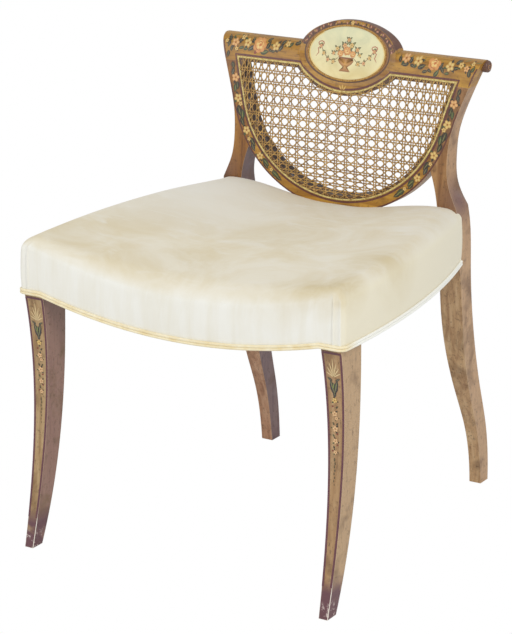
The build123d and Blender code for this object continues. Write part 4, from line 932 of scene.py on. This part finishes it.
# Each mark: (kind, x, z, size, angle in degrees)
CREST_MARKS_LEFT = (
    ("rose", -143.0, 636.0, 21.5, 0), ("yellow", -163.6, 637.0, 12.0, 0), ("peach", -184.0, 636.0, 12.0, 0),
    ("yellow", -116.0, 636.5, 12.0, 0), ("small", -98.0, 641.0, 7.5, 0), ("small", -173.5, 643.5, 7.0, 0),
    ("dark", -155.0, 641.5, 11, 120), ("blue", -156.5, 630.0, 12, 215), ("green", -133.0, 627.0, 14, 15),
    ("dark", -128.5, 637.0, 12, 70), ("dark", -129.0, 643.5, 8, 30), ("rosedot", -148.6, 625.0, 5.0, 0),
    ("dark", -186.5, 645.0, 11, 15), ("blue", -176.0, 640.0, 10, 60), ("dark", -195.0, 642.0, 11, 120),
    ("dark", -194.5, 633.5, 10, 260), ("green", -173.0, 629.5, 9, 200), ("dark", -189.0, 627.0, 9, 265),
    ("dark", -193.5, 619.0, 10, 265), ("dark", -105.0, 642.5, 10, 40), ("blue", -108.0, 634.5, 11, 240),
    ("dark", -118.6, 629.5, 8, 10), ("green", -93.0, 640.0, 9, 225), ("dark", -89.0, 645.0, 9, 80),
    ("dark", -82.0, 643.5, 11, 15), ("dark", -124.0, 630.0, 8, 330), ("small", -180.5, 627.5, 6.0, 0),
    ("green", -165.0, 628.5, 8, 10), ("small", -199.0, 637.0, 5.5, 0),
)
CREST_MARKS_RIGHT = (
    ("peach", 94.0, 641.0, 12.5, 0), ("yellow", 113.5, 639.0, 13.0, 0), ("rose", 139.0, 638.5, 19.0, 0),
    ("yellow", 163.6, 636.5, 13.0, 0), ("small", 180.0, 639.5, 8.0, 0), ("peach", 189.0, 636.0, 8.5, 0),
    ("dark", 85.0, 640.0, 10, 100), ("blue", 102.5, 640.0, 11, 80), ("dark", 94.0, 633.0, 12, 190),
    ("dark", 122.5, 642.0, 11, 75), ("dark", 120.5, 632.5, 13, 25), ("rosedot", 131.0, 645.5, 4.5, 0),
    ("dark", 151.5, 645.0, 12, 65), ("blue", 149.5, 636.0, 11, 60), ("dark", 153.0, 630.5, 10, 300),
    ("green", 144.5, 626.0, 12, 55), ("dark", 126.5, 626.5, 9, 20), ("dark", 133.5, 628.0, 8, 330),
    ("dark", 173.6, 635.0, 10, 10), ("blue", 175.5, 643.0, 10, 30), ("dark", 186.5, 645.0, 11, 20),
    ("dark", 194.0, 631.0, 12, 95), ("green", 199.0, 636.0, 9, 60), ("dark", 204.0, 644.0, 12, 10),
    ("dark", 106.5, 632.0, 9, 340), ("green", 160.0, 627.0, 8, 190), ("small", 197.0, 642.5, 5.5, 0),
)
# On the arms each mark is placed by its share of the way down from the crest to the foot.
ARM_MARKS = (
    ("dark", 0.015, 15.5, 11, 250), ("blue", 0.05, 17.5, 11, 280), ("peach", 0.075, 14.5, 12.5, 0),
    ("dark", 0.125, 13.5, 13, 255), ("green", 0.135, 17.5, 13, 275), ("yellow", 0.19, 15.5, 12.5, 0),
    ("small", 0.225, 13.0, 7.0, 0), ("dark", 0.255, 17.0, 17, 250), ("green", 0.285, 13.6, 16, 262),
    ("dark", 0.315, 17.0, 14, 245), ("yellow", 0.365, 15.0, 12.0, 0), ("small", 0.40, 17.2, 6.0, 0),
    ("dark", 0.43, 13.8, 15, 235), ("blue", 0.445, 17.4, 13, 245), ("yellow", 0.50, 15.5, 11.0, 0),
    ("green", 0.545, 14.0, 15, 225), ("dark", 0.56, 17.4, 12, 228), ("small", 0.59, 15.0, 6.0, 0),
    ("green", 0.625, 15.5, 17, 218), ("dark", 0.655, 16.5, 12, 210),
)

chance = random.Random(17)
for marks in (CREST_MARKS_LEFT, CREST_MARKS_RIGHT):
    for kind, x, z, size, angle in marks:
        paint_mark(back_paint, kind, x, z, size, angle, chance)
for side in (1, -1):
    for kind, down, inset, size, angle in ARM_MARKS:
        x, z = band_point(down, inset, side)
        paint_mark(back_paint, kind, x, z, size, angle if side > 0 else 180 - angle, chance)


def ellipse(inset, start=0.0, end=2 * pi, count=96):
    """Points round the oval, from the tablet's edge at an inset of 0 to the panel's at 1."""
    wide = TABLET_HALF_WIDTH - inset * (TABLET_HALF_WIDTH - PANEL_HALF_WIDTH)
    high = TABLET_HALF_HEIGHT - inset * (TABLET_HALF_HEIGHT - PANEL_HALF_HEIGHT)
    turns = [start + (end - start) * index / count for index in range(count + (end < 2 * pi))]
    return [(wide * cos(turn), TABLET_Z + high * sin(turn)) for turn in turns]


RIM_BAND = (98, 50, 40)
RIM_SPRIG = ((214, 158, 128), (196, 160, 84), LEAF_DARK)
RIM_MARKS = (("yellow", 74.0, 655.5, 8.0), ("dark", 78.5, 646.5, 8.0), ("dark", -74.5, 652.0, 8.0),
             ("dark", 53.0, 671.0, 7.0), ("green", -52.0, 671.5, 7.0), ("small", 0.0, 679.0, 6.0))
APRON_SPRIG_Z = CREST_Z - 19.0


def tablet_rim(paint, chance):
    """Rings round the oval, and over its upper half a dark band with a running sprig."""
    paint.line(ellipse(0.78), 2.8, (138, 92, 48), LINE_LIFT, closed=True)
    paint.line(ellipse(0.58), 2.0, UMBER, OVER_LINE_LIFT, closed=True)
    paint.line(ellipse(0.34, 0.16, pi - 0.16), 6.0, RIM_BAND, LINE_LIFT)
    paint.line(ellipse(0.06, 0.2, pi - 0.2), 1.6, (72, 30, 36), OVER_LINE_LIFT)
    for index, (x, z) in enumerate(ellipse(0.34, 0.2, pi - 0.2, 44)):
        z += 0.8 if index % 2 else -0.8
        tone = RIM_SPRIG[index % 3]
        paint.oval(x, z, 4.2, 2.4, chance.uniform(0, pi), tone, blended(tone, RIM_BAND, 0.5), LEAF_LIFT)
    for kind, x, z, size in RIM_MARKS:
        paint_mark(paint, kind, x, z, size, 40, chance)
    for lean in (-1, 0, 1):
        paint.oval(lean * 3.6, APRON_SPRIG_Z - abs(lean), 7.5, 2.8, pi / 2 - lean * 0.6, STRAW,
                   (190, 140, 60), LEAF_LIFT)


tablet_rim(back_paint, random.Random(29))
back_paint.piece("back_painted_ornament", PAINT, "painted_panel")

SCROLL_R = 9.0
SCROLL_Y = back_y(CREST_Z) + 29.2
SCROLL_Z = CREST_TOP_Z - SCROLL_R
# (x, radius) of the boss on the end of the crest's scroll
BOSS_PROFILE = ((202.5, 8.4), (211.6, 8.4), (213.0, 7.6), (213.4, 6.2), (213.0, 5.0), (213.3, 0.0))
BOSS_FACE_X = 213.4
BOSS_SIDES = 28


def scroll_point(x, radius, turn):
    return x, SCROLL_Y + radius * cos(turn), SCROLL_Z + radius * sin(turn)


def scroll_end(name, side):
    """A shallow turned boss on the end of the scroll, with a spiral round its face."""
    boss = [scroll_point(side * x, radius, turn) for x, radius in BOSS_PROFILE
            for turn in round_turns(BOSS_SIDES)]
    add_piece(name, boss, ring_faces(BOSS_SIDES, len(BOSS_PROFILE)), PAINT, "satinwood",
              [linear((92, 58, 48))] * len(boss))
    turns = [0.35 * step for step in range(19)]
    spiral = [scroll_point(side * BOSS_FACE_X, 1.0 + 0.85 * turn, turn + 0.6) for turn in turns]
    vertices, faces = tube(spiral, 0.6, 6, pole=(1, 0, 0))
    add_piece(name + "_spiral", vertices, faces, PAINT, "satinwood", [linear((172, 128, 92))] * len(vertices))


scroll_end("scroll_end_right", 1)
scroll_end("scroll_end_left", -1)

# ---------------------------------------------------------------- painted front of the legs
LEG_FOOT_X = (227.5, 241.2)
LEG_MIDDLE_X = 230.8
LEG_LINE = (88, 38, 62)
LEG_LINE_WIDTH = 3.0
LEG_LINE_INSET = 1.7
LEG_TOP_LINE_Z = 355.0
LEG_TOP_LINE_X = (216.5, 222.0, 226.5, 231.0, 235.5, 240.0, 244.5)
LEG_LINE_FOOT_Z = 42.0
LEG_LINE_STEPS = 40
# (kind, height, offset across, size) of the garland's marks down the leg
LEG_MARKS = (
    ("yellow", 289.5, 0.0, 7.5), ("rosedot", 281.0, -3.4, 3.0), ("dark", 280.5, 3.0, 4.5),
    ("blush", 271.0, -0.6, 8.0), ("blush", 265.0, 2.0, 5.5), ("dark", 257.5, -2.6, 4.5),
    ("dark", 257.5, 3.0, 4.5), ("blush", 250.5, 0.0, 8.5), ("rosedot", 244.0, 3.0, 3.0),
    ("green", 241.5, -2.6, 4.5), ("blush", 234.0, 0.3, 7.5), ("rosedot", 229.0, 3.4, 2.8),
    ("dark", 225.5, -1.6, 4.5), ("blush", 219.0, 0.6, 6.0), ("rosedot", 220.5, -3.4, 2.8),
)
TAIL_TOP_Z = 209.0            # of the row of leaves that ends the garland
TAIL_SPACING = 4.8
FAN_FOOT_Z = 321.5
# (lean from upright in degrees, length) of the fan's strokes, the middle one first
FAN_STROKES = ((0, 26.0), (13, 20.5), (30, 15.0), (54, 10.5))


def leg_edge_x(z, outer):
    """X of a front leg's outer or inner edge at height z."""
    share = max(0.0, 1 - z / RAIL_LOW_Z)
    top, foot = (LEG_OUTER_X, LEG_FOOT_X[1]) if outer else (LEG_INNER_X, LEG_FOOT_X[0])
    return top + (foot - top) * share


def fan_stroke(paint, middle, lean, reach):
    """One straw stroke of the fan, curling outwards; lean is in degrees, less than 0 to the left."""
    curl = lean / 30
    route = [(middle + sin(radians(lean)) * share * reach + curl * share ** 2,
              FAN_FOOT_Z + cos(radians(lean)) * share * reach) for share in (0.08, 0.4, 0.7, 1.0)]
    paint.line(route, 1.6, (224, 200, 150), OVER_LINE_LIFT, taper=True)


def anthemion(paint, middle):
    """The fan of straw strokes at the leg's top, with the blue and green leaves under it."""
    for lean, reach in FAN_STROKES:
        fan_stroke(paint, middle, lean, reach)
        if lean:
            fan_stroke(paint, middle, -lean, reach)
    for lean in (-1, 1):
        leaf(paint, middle + lean * 2.6, 308.0, 21.0, radians(90 - lean * 15), LEAF_BLUE, 0.36)
        leaf(paint, middle + lean * 5.8, 318.5, 8.0, radians(90 - lean * 58), LEAF_BLUE, 0.4)
    leaf(paint, middle - 0.5, 309.0, 10.0, radians(90), (122, 158, 86), 0.34)
    leaf(paint, middle + 0.3, 299.0, 10.0, radians(90), LEAF_BLUE, 0.5)


def paint_leg(paint, side, chance):
    """The front of one leg: its border lines, the anthemion and the garland below it."""
    climb = (LEG_TOP_LINE_Z - LEG_LINE_FOOT_Z) / LEG_LINE_STEPS
    heights = [LEG_LINE_FOOT_Z + climb * step for step in range(LEG_LINE_STEPS + 1)]
    for outer, inset in ((True, -LEG_LINE_INSET), (False, LEG_LINE_INSET)):
        route = [(side * (leg_edge_x(z, outer) + inset), z) for z in heights]
        paint.line(route, LEG_LINE_WIDTH, LEG_LINE, LINE_LIFT)
    paint.line([(side * x, LEG_TOP_LINE_Z) for x in LEG_TOP_LINE_X], LEG_LINE_WIDTH, LEG_LINE, LINE_LIFT)
    middle = side * LEG_MIDDLE_X
    anthemion(paint, middle)
    for kind, z, across, size in LEG_MARKS:
        paint_mark(paint, kind, middle + across, z, size, 90 - 12 * across, chance)
    for number in range(8):
        offset = 0.45 if number % 2 else -0.45
        leaf(paint, middle + offset, TAIL_TOP_Z - number * TAIL_SPACING, 5.6 - number * 0.4, radians(92),
             LEAF_DARK, 0.36)


leg_paint = Painting("front_leg_right", "front_leg_left")
for side in (1, -1):
    paint_leg(leg_paint, side, chance)
leg_paint.piece("leg_painted_ornament", PAINT, "painted_panel")

# ---------------------------------------------------------------- the oval's painting
URN_MIDDLE = TABLET_Z - 16.0
# (x, z) from the urn's middle: of the urn's right half, its rim, the right swag and its ribbon
URN_PROFILE = ((0.0, -9.0), (9.0, -9.0), (7.0, -6.5), (3.0, -5.0), (4.5, -2.0), (10.0, 2.0), (12.5, 6.0),
               (11.0, 9.0), (13.0, 10.5), (0.0, 10.5))
URN_RIM = ((-12.0, 10.0), (0.0, 9.2), (12.0, 10.0))
SWAG = ((13, 9), (20, 4), (29, 6), (37, 14), (43, 23))
RIBBON = ((43, 23), (47, 19), (45, 13), (49, 8))
RIBBON_TONE = (176, 98, 74)
# (kind, x, z, size) of the bunch in the urn
BUNCH = (("rose", 0, 19, 12), ("rose", -10, 15, 9), ("rose", 10, 15.5, 9), ("peach", -5, 26, 7),
         ("yellow", 6, 27, 7), ("yellow", -16, 21, 6), ("peach", 16, 22, 6), ("peach", 0, 34, 5.5),
         ("peach", -21, 14.5, 5), ("yellow", 21, 15, 5))


def from_urn(points, side=1):
    """Points given from the urn's middle as places of the front view; a side of -1 mirrors them."""
    return [(side * x, URN_MIDDLE + z) for x, z in points]


def paint_swag(paint, side, chance):
    """A swag of leaves and blossoms, with the ribbon it hangs from."""
    swag = from_urn(SWAG, side)
    paint.line(swag, 0.9, (132, 96, 60), LINE_LIFT)
    for number, (x, z) in enumerate(swag[1:]):
        leaf(paint, x, z + 1.6, 6.5, radians(60 * number + 30), (136, 140, 84))
        blossom(paint, x, z - 1.0, 5.4, (222, 158, 112) if number % 2 else (226, 190, 110), chance)
    paint.line(from_urn(RIBBON, side), 1.6, RIBBON_TONE, LEAF_LIFT, taper=True)
    bow = [(43 + 4.5 * cos(0.8 * step), 26 + 3.0 * sin(0.8 * step)) for step in range(8)]
    paint.line(from_urn(bow, side), 1.3, RIBBON_TONE, LEAF_LIFT, closed=True)


def paint_panel(paint, chance):
    """A vase of flowers between two swags: ornament of the common kind, in the panel's colours."""
    urn = from_urn(URN_PROFILE) + from_urn(reversed(URN_PROFILE[1:-1]), -1)
    paint.shape(urn, (214, 160, 84), (150, 98, 56), LEAF_LIFT, rings=(0.35, 0.7, 1.0))
    paint.line(from_urn(URN_RIM), 1.2, (126, 74, 48), PETAL_LIFT)
    for side in (-1, 1):
        paint_swag(paint, side, chance)
    for _, x, z, size in BUNCH:
        foot = URN_MIDDLE + z + size * 0.45
        leaf(paint, x + size * 0.5, foot, size * 0.9, radians(40), (118, 128, 82))
        leaf(paint, x - size * 0.5, foot, size * 0.9, radians(140), (104, 112, 76))
    for kind, x, z, size in BUNCH:
        paint_mark(paint, kind, x, URN_MIDDLE + z, size, 0, chance)


panel_paint = Painting("medallion_panel")
paint_panel(panel_paint, random.Random(23))
panel_paint.line(ellipse(1.07), 1.5, (238, 212, 136), LINE_LIFT, closed=True)
panel_paint.piece("panel_painting", PAINT, "painted_panel")


# ---------------------------------------------------------------- cane binding with its loops
BINDING_WIDTH = 2.6
BINDING_HEIGHT = 1.0
# (across, up) as shares of the binding's width and height: of its section, and of a loop over it
BINDING_SECTION = ((-0.5, 0.0), (-0.42, 0.7), (-0.2, 1.0), (0.2, 1.0), (0.42, 0.7), (0.5, 0.0))
LOOP_SECTION = ((-0.72, -0.2), (-0.5, 0.75), (-0.2, 1.12), (0.2, 1.12), (0.5, 0.75), (0.68, 0.0))
LOOP_SPACING = 10.5
LOOP_WIDTH = 1.1
LOOP_RISE = 0.35
BINDING_TINT = (0.95, 0.95, 0.9, 1.0)
BINDING_ROUTE = outward(OPENING, HOLE_SET)


def lay_binding(binding):
    """A closed flat-round strip over the drilled holes, standing on the wood's face."""
    rows = [(outward(BINDING_ROUTE, across * BINDING_WIDTH), up) for across, up in BINDING_SECTION]
    count = len(BINDING_ROUTE)
    ring = len(BINDING_SECTION)
    for index in range(count):
        for row, up in rows:
            x, z = row[index]
            binding.vertices.append((x, back_y(z) - up * BINDING_HEIGHT, z))
        here = index * ring
        there = (index + 1) % count * ring
        for corner in range(ring):
            other = (corner + 1) % ring
            binding.faces.append((here + corner, there + corner, there + other, here + other))


def lay_loop(binding, index, chance):
    """A thin strand that passes over the binding at one point of its route."""
    x, z = BINDING_ROUTE[index]
    px, pz = BINDING_ROUTE[index - 3]
    length = hypot(x - px, z - pz)
    tx, tz = (x - px) / length, (z - pz) / length
    start = len(binding.vertices)
    lean = chance.uniform(-0.5, 0.5)
    for across, up in LOOP_SECTION:
        for half in (-0.5, 0.5):
            along = half * LOOP_WIDTH + lean * across
            point_x = x + tz * across * BINDING_WIDTH + tx * along
            point_z = z - tx * across * BINDING_WIDTH + tz * along
            point_y = back_y(point_z) - up * BINDING_HEIGHT - LOOP_RISE
            binding.vertices.append((point_x, point_y, point_z))
    binding.faces += ring_faces(2, len(LOOP_SECTION), start, closed=False)


def build_binding(chance):
    """The strip with its loops, evenly spaced along it, as one piece."""
    made = Gathered()
    lay_binding(made)
    points = len(BINDING_ROUTE)
    loops = round(points * OUTLINE_STEP / LOOP_SPACING)
    for number in range(loops):
        lay_loop(made, round(number * points / loops) % points, chance)
    made.colours = [BINDING_TINT] * len(made.vertices)
    return made.piece("cane_binding_strip", BINDING, "cane")


binding = build_binding(random.Random(31))
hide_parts("cane_binding")


# ---------------------------------------------------------------- seat
SEAT_CHORD = hypot(SEAT_FRONT_X - SEAT_REAR_X, SEAT_REAR_Y - SEAT_FRONT_Y)
SIDE_RADIUS = ((SEAT_CHORD / 2) ** 2 + SEAT_BOW ** 2) / (2 * SEAT_BOW)
SIDE_CENTRE_X = ((SEAT_FRONT_X + SEAT_REAR_X) / 2
                 - (SEAT_REAR_Y - SEAT_FRONT_Y) / SEAT_CHORD * (SIDE_RADIUS - SEAT_BOW))
SIDE_CENTRE_Y = ((SEAT_FRONT_Y + SEAT_REAR_Y) / 2
                 - (SEAT_FRONT_X - SEAT_REAR_X) / SEAT_CHORD * (SIDE_RADIUS - SEAT_BOW))
REAR_STEPS = 20               # half of the seat's rear
ROUND_STEPS = 8
SIDE_STEPS = 52
FRONT_SPACING = 6.0
PLEAT_SPACING = 1.2           # of the front's points near a corner, where the pleats are
PLEAT_REACH = 14.0
CORNER_ROUND = 8.0
REAR_ROUND = 9.0
CORNER_Y = SEAT_FRONT_Y + CORNER_ROUND


def side_x(y):
    """Half width of the seat at y."""
    return SIDE_CENTRE_X + sqrt(SIDE_RADIUS ** 2 - (y - SIDE_CENTRE_Y) ** 2)


def eased_table(value, table):
    """Smooth curve through a short table of (place, height) pairs."""
    places = [row[0] for row in table]
    heights = [row[1] for row in table]
    last = len(table) - 1
    index = max(0, min(last - 1, sum(value > place for place in places) - 1))

    def slope(at):
        if at in (0, last):
            other = 1 if at == 0 else last - 1
            return (heights[other] - heights[at]) / (places[other] - places[at])
        before = (heights[at] - heights[at - 1]) / (places[at] - places[at - 1])
        after = (heights[at + 1] - heights[at]) / (places[at + 1] - places[at])
        return 0.0 if before * after <= 0 else 2 * before * after / (before + after)

    span = places[index + 1] - places[index]
    t = min(1.0, max(0.0, (value - places[index]) / span))
    return (heights[index] * (1 + 2 * t) * (1 - t) ** 2 + slope(index) * span * t * (1 - t) ** 2
            + heights[index + 1] * t * t * (3 - 2 * t) - slope(index + 1) * span * t * t * (1 - t))


# Heights over the rails along the seat: of its dipped middle, and near its sides.
CENTRE_CROWN = ((-267.2, 4.0), (-245.2, 7.5), (-200.2, 14.0), (-84.0, 24.0), (33.0, 24.0), (150.3, 19.0),
                (171.8, 18.0))
EDGE_CROWN = ((-267.2, 33.0), (-200.2, 36.0), (-84.0, 38.5), (33.0, 39.5), (171.8, 38.0))
# How far the sides roll down, and how far in from the edge the roll starts.
SIDE_DROP = ((-267.2, 16.0), (-200.2, 20.0), (33.0, 21.0), (150.3, 22.0), (171.8, 18.0))
SIDE_REACH = ((-267.2, 20.0), (-200.2, 24.0), (33.0, 28.0), (150.3, 36.0), (171.8, 32.0))
FRONT_ROLL = (25.0, 36.0)     # the same two at the middle of the front, and of the rear
REAR_ROLL = (16.0, 24.0)
SADDLE_BAND = 18.0            # the saddle's curve ends this far from the sides
SEAT_MIDDLE_Y = (SEAT_FRONT_Y + SEAT_REAR_Y) / 2
SEAT_HALF_LENGTH = (SEAT_REAR_Y - SEAT_FRONT_Y) / 2
SEAT_HALF_WIDTH = 240.0
BAND_BULGE = 1.5
BAND_STEPS = 8
ROLL_STEPS = 10
CROWN_STEPS = 26
PLEATS = (-3.5, 5.5)          # along the front from each corner
PLEAT_WIDTH = 1.4
PLEAT_HEIGHT = 2.1


def smooth(value, low, high):
    """0 at low, 1 at high, eased between them."""
    share = min(1.0, max(0.0, (value - low) / (high - low)))
    return share * share * (3 - 2 * share)


def welt_line(x):
    """Height of the seat's lower edge along its front."""
    share = min(1.0, abs(x) / LEG_INNER_X)
    return RAIL_LOW_Z - FRONT_DIP * (1 - share ** 2)


CORNER_X = side_x(CORNER_Y) - CORNER_ROUND
REAR_CORNER_X = side_x(SEAT_REAR_Y - REAR_ROUND) - REAR_ROUND


def seat_plan():
    """The seat's outline in plan, as a closed loop from the middle of its rear."""
    half = [(REAR_CORNER_X * step / REAR_STEPS, SEAT_REAR_Y) for step in range(REAR_STEPS)]
    quarter = [pi / 2 * step / ROUND_STEPS for step in range(ROUND_STEPS + 1)]
    half += [(REAR_CORNER_X + REAR_ROUND * sin(turn), SEAT_REAR_Y - REAR_ROUND * (1 - cos(turn)))
             for turn in quarter]
    side_span = SEAT_REAR_Y - REAR_ROUND - CORNER_Y
    half += [(side_x(y), y) for y in
             (SEAT_REAR_Y - REAR_ROUND - side_span * step / SIDE_STEPS for step in range(1, SIDE_STEPS))]
    half += [(CORNER_X + CORNER_ROUND * cos(turn), CORNER_Y - CORNER_ROUND * sin(turn)) for turn in quarter]
    x = CORNER_X
    while x > 1.0:
        x -= PLEAT_SPACING if CORNER_X - x < PLEAT_REACH else FRONT_SPACING
        half.append((max(0.0, x), SEAT_FRONT_Y))
    half[-1] = (0.0, SEAT_FRONT_Y)
    return half + [(-x, y) for x, y in reversed(half[1:-1])]


def crown_z(x, y):
    """Height of the seat's top, before its edges roll over."""
    centre = eased_table(y, CENTRE_CROWN)
    edge = eased_table(y, EDGE_CROWN)
    place = min(1.0, abs(x) / (side_x(y) - SADDLE_BAND))
    saddle = place ** 2
    saddle += (smooth(place, 0.1, 0.95) - saddle) * smooth(y, -20.0, 140.0)
    return RAIL_TOP_Z + centre + (edge - centre) * saddle


def roll_at(x, y):
    """How far down and how far in the seat's edge rolls at a point of its outline."""
    side = (eased_table(y, SIDE_DROP), eased_table(y, SIDE_REACH))
    if y < SEAT_FRONT_Y + 0.1:
        return blended(FRONT_ROLL, side, (abs(x) / CORNER_X) ** 2)
    if y > SEAT_REAR_Y - 0.1:
        return blended(REAR_ROLL, side, (abs(x) / REAR_CORNER_X) ** 4)
    return side


def pleat(x, y):
    """How far the folds at the front corners stand out."""
    if y > CORNER_Y:
        return 0.0
    along = CORNER_X - abs(x)
    return PLEAT_HEIGHT * sum(exp(-((along - place) / PLEAT_WIDTH) ** 2) for place in PLEATS)


def seat_rings():
    """Closed rings of the cover: up its bands, over the rolled edge and in to the middle."""
    plan = seat_plan()
    outs = [(-nx, -ny) for nx, ny in crossways(plan, closed=True)]
    rings = []
    for step in range(BAND_STEPS):
        share = step / BAND_STEPS
        ring = []
        for (x, y), (nx, ny) in zip(plan, outs):
            low = (welt_line(x) if y < CORNER_Y else RAIL_LOW_Z) - 1.0
            top = crown_z(x, y) - roll_at(x, y)[0]
            out = BAND_BULGE * sin(pi * share) + pleat(x, y) * smooth(share, 0.0, 0.15)
            ring.append((x + nx * out, y + ny * out, low + (top - low) * share))
        rings.append(ring)
    for step in range(ROLL_STEPS + 1):
        turn = pi / 2 * step / ROLL_STEPS
        ring = []
        for (x, y), (nx, ny) in zip(plan, outs):
            drop, reach = roll_at(x, y)
            inset = reach * (1 - cos(turn))
            out = pleat(x, y) * (1 - smooth(turn, 0.0, 0.9))
            in_x = x * (1 - inset / SEAT_HALF_WIDTH) + nx * out
            in_y = SEAT_MIDDLE_Y + (y - SEAT_MIDDLE_Y) * (1 - inset / SEAT_HALF_LENGTH) + ny * out
            ring.append((in_x, in_y, crown_z(in_x, in_y) - drop * (1 - sin(turn))))
        rings.append(ring)
    rim = rings[-1]
    for step in range(1, CROWN_STEPS):
        share = 1 - step / CROWN_STEPS
        ring = [(x * share, SEAT_MIDDLE_Y + (y - SEAT_MIDDLE_Y) * share) for x, y, _ in rim]
        rings.append([(x, y, crown_z(x, y)) for x, y in ring])
    return rings


def seat_mesh():
    """The cover as one skin, closed over the top with a fan at its middle."""
    rings = seat_rings()
    count = len(rings[0])
    vertices = [point for ring in rings for point in ring]
    faces = ring_faces(count, len(rings), inward=True)
    vertices.append((0.0, SEAT_MIDDLE_Y, crown_z(0.0, SEAT_MIDDLE_Y)))
    last = (len(rings) - 1) * count
    faces += [(last + corner, len(vertices) - 1, last + (corner + 1) % count) for corner in range(count)]
    return vertices, faces


def thicken(piece, thickness):
    """Give a skin of cloth its thickness, inwards from its faces."""
    cloth = piece.modifiers.new("cloth_thickness", "SOLIDIFY")
    cloth.thickness = thickness * MM
    cloth.offset = -1.0


seat = add_piece("seat_velvet", *seat_mesh(), VELVET, "velvet")
cleaned(seat.data)
thicken(seat, 2.4)
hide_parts("seat_cover", "seat_stuffing")

# (y, z) of the cover at the rear: off the seat, over the rail, down behind it and under it
REAR_PROFILE = ((146.0, 402.0), (160.0, 409.0), (176.0, 411.5), (188.0, 411.0), (194.0, 407.0),
                (195.8, 398.0), (196.2, 384.0), (195.8, 370.0), (195.4, 361.0), (186.0, 360.6),
                (174.0, 361.0))
REAR_HALF = 159.0
REAR_DIP = 7.0                # of the profile's top, its first six points, at the chair's middle
REAR_BAND_STEPS = 32


def rear_band():
    """Cover over the rear rail, between the stiles."""
    vertices = []
    for step in range(REAR_BAND_STEPS + 1):
        place = 2 * step / REAR_BAND_STEPS - 1
        for index, (y, z) in enumerate(REAR_PROFILE):
            dip = REAR_DIP * (1 - place ** 2) if index < 6 else 0.0
            vertices.append((REAR_HALF * place, y, z - dip))
    return vertices, ring_faces(len(REAR_PROFILE), REAR_BAND_STEPS + 1, closed=False, inward=True)


band = add_piece("seat_rear_band", *rear_band(), VELVET, "velvet")
thicken(band, 1.6)


# ---------------------------------------------------------------- double welt
CORD_RADIUS = 1.95
CORD_RISE = 3.7               # from the lower cord up to the upper one
CORD_STAND = CORD_RADIUS + 0.1
CORD_STEP = 8.0
WELT_DROP = 1.5               # of the cords' lower side under the rails


def welt_route(lift):
    """One cord's route: along the right side, round the dipped front, back along the left."""
    low = RAIL_LOW_Z - WELT_DROP + lift
    right = []
    y = SEAT_REAR_Y - REAR_ROUND
    while y > CORNER_Y:
        right.append((side_x(y) + CORD_STAND, y, low))
        y -= CORD_STEP
    reach = CORNER_ROUND + CORD_STAND
    for step in range(7):
        turn = pi / 2 * step / 6
        right.append((CORNER_X + reach * cos(turn), CORNER_Y - reach * sin(turn), low))
    x = LEG_INNER_X
    while x > 0:
        right.append((x, SEAT_FRONT_Y - CORD_STAND, welt_line(x) - WELT_DROP + lift))
        x -= CORD_STEP
    return right + [(-x, y, z) for x, y, z in reversed(right)]


cord_vertices, cord_faces = tube(welt_route(CORD_RADIUS), CORD_RADIUS)
upper_vertices, upper_faces = tube(welt_route(CORD_RADIUS + CORD_RISE), CORD_RADIUS)
cord_faces += [tuple(len(cord_vertices) + corner for corner in face) for face in upper_faces]
welt = add_piece("seat_double_welt", cord_vertices + upper_vertices, cord_faces, WELT, "welt_cord")
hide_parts("seat_welt_front", "seat_welt_side_right", "seat_welt_side_left")


# ---------------------------------------------------------------- floor, light and camera
WHITE = (1.0, 1.0, 1.0, 1.0)
FLOOR_GREY = (0.86, 0.86, 0.86, 1.0)
FLOOR_SIZE = 14.0
WORLD_STRENGTH = 0.62


def white_when_seen(tree, output, kind, lighting):
    """End a tree in plain white for the camera, and in another shader for all other rays."""
    seen = add_node(tree, kind, {"Color": WHITE, "Strength": 1.0})
    camera_ray = add_node(tree, "LightPath", {}, "Is Camera Ray")
    mixed = add_node(tree, "MixShader", {0: camera_ray, 1: lighting, 2: seen})
    add_node(tree, output, {"Surface": mixed})


def emptied(owner):
    """The node tree of a material or a world, with nothing in it."""
    owner.use_nodes = True
    owner.node_tree.nodes.clear()
    return owner.node_tree


def build_floor():
    bpy.ops.mesh.primitive_plane_add(size=FLOOR_SIZE, location=(0, 0, 0))
    floor = bpy.context.object
    floor.name = "floor"
    material = bpy.data.materials.new("pale_floor")
    tree = emptied(material)
    white_when_seen(tree, "OutputMaterial", "Emission", add_node(tree, "BsdfDiffuse", {"Color": FLOOR_GREY}))
    floor.data.materials.append(material)


def build_world():
    world = bpy.data.worlds.new("white_studio")
    bpy.context.scene.world = world
    tree = emptied(world)
    lit = add_node(tree, "Background", {"Color": WHITE, "Strength": WORLD_STRENGTH})
    white_when_seen(tree, "OutputWorld", "Background", lit)


def add_lamp(name, place, target, size, watts):
    light = bpy.data.lights.new(name, "AREA")
    light.shape = "DISK"
    light.size = size
    light.energy = watts
    lamp = placed(name, light)
    lamp.location = place
    lamp.rotation_euler = (Vector(target) - Vector(place)).to_track_quat("-Z", "Y").to_euler()


def build_camera():
    data = bpy.data.cameras.new("camera")
    data.sensor_width = 36.0
    data.sensor_fit = "AUTO"
    data.lens = CAMERA_LENS
    data.clip_end = 50.0
    camera = placed("camera", data)
    camera.location = Vector(CAMERA_PLACE) * MM
    camera.rotation_euler = (radians(90 - CAMERA_DIP), 0, radians(CAMERA_TURN))
    bpy.context.scene.camera = camera


build_floor()
build_world()
add_lamp("key", (2.6, -2.2, 2.6), (0, 0, 0.4), 1.8, 55.0)
add_lamp("fill", (-2.4, -2.6, 1.8), (0, 0, 0.4), 2.2, 22.0)
build_camera()
bpy.context.scene.view_settings.view_transform = "Standard"
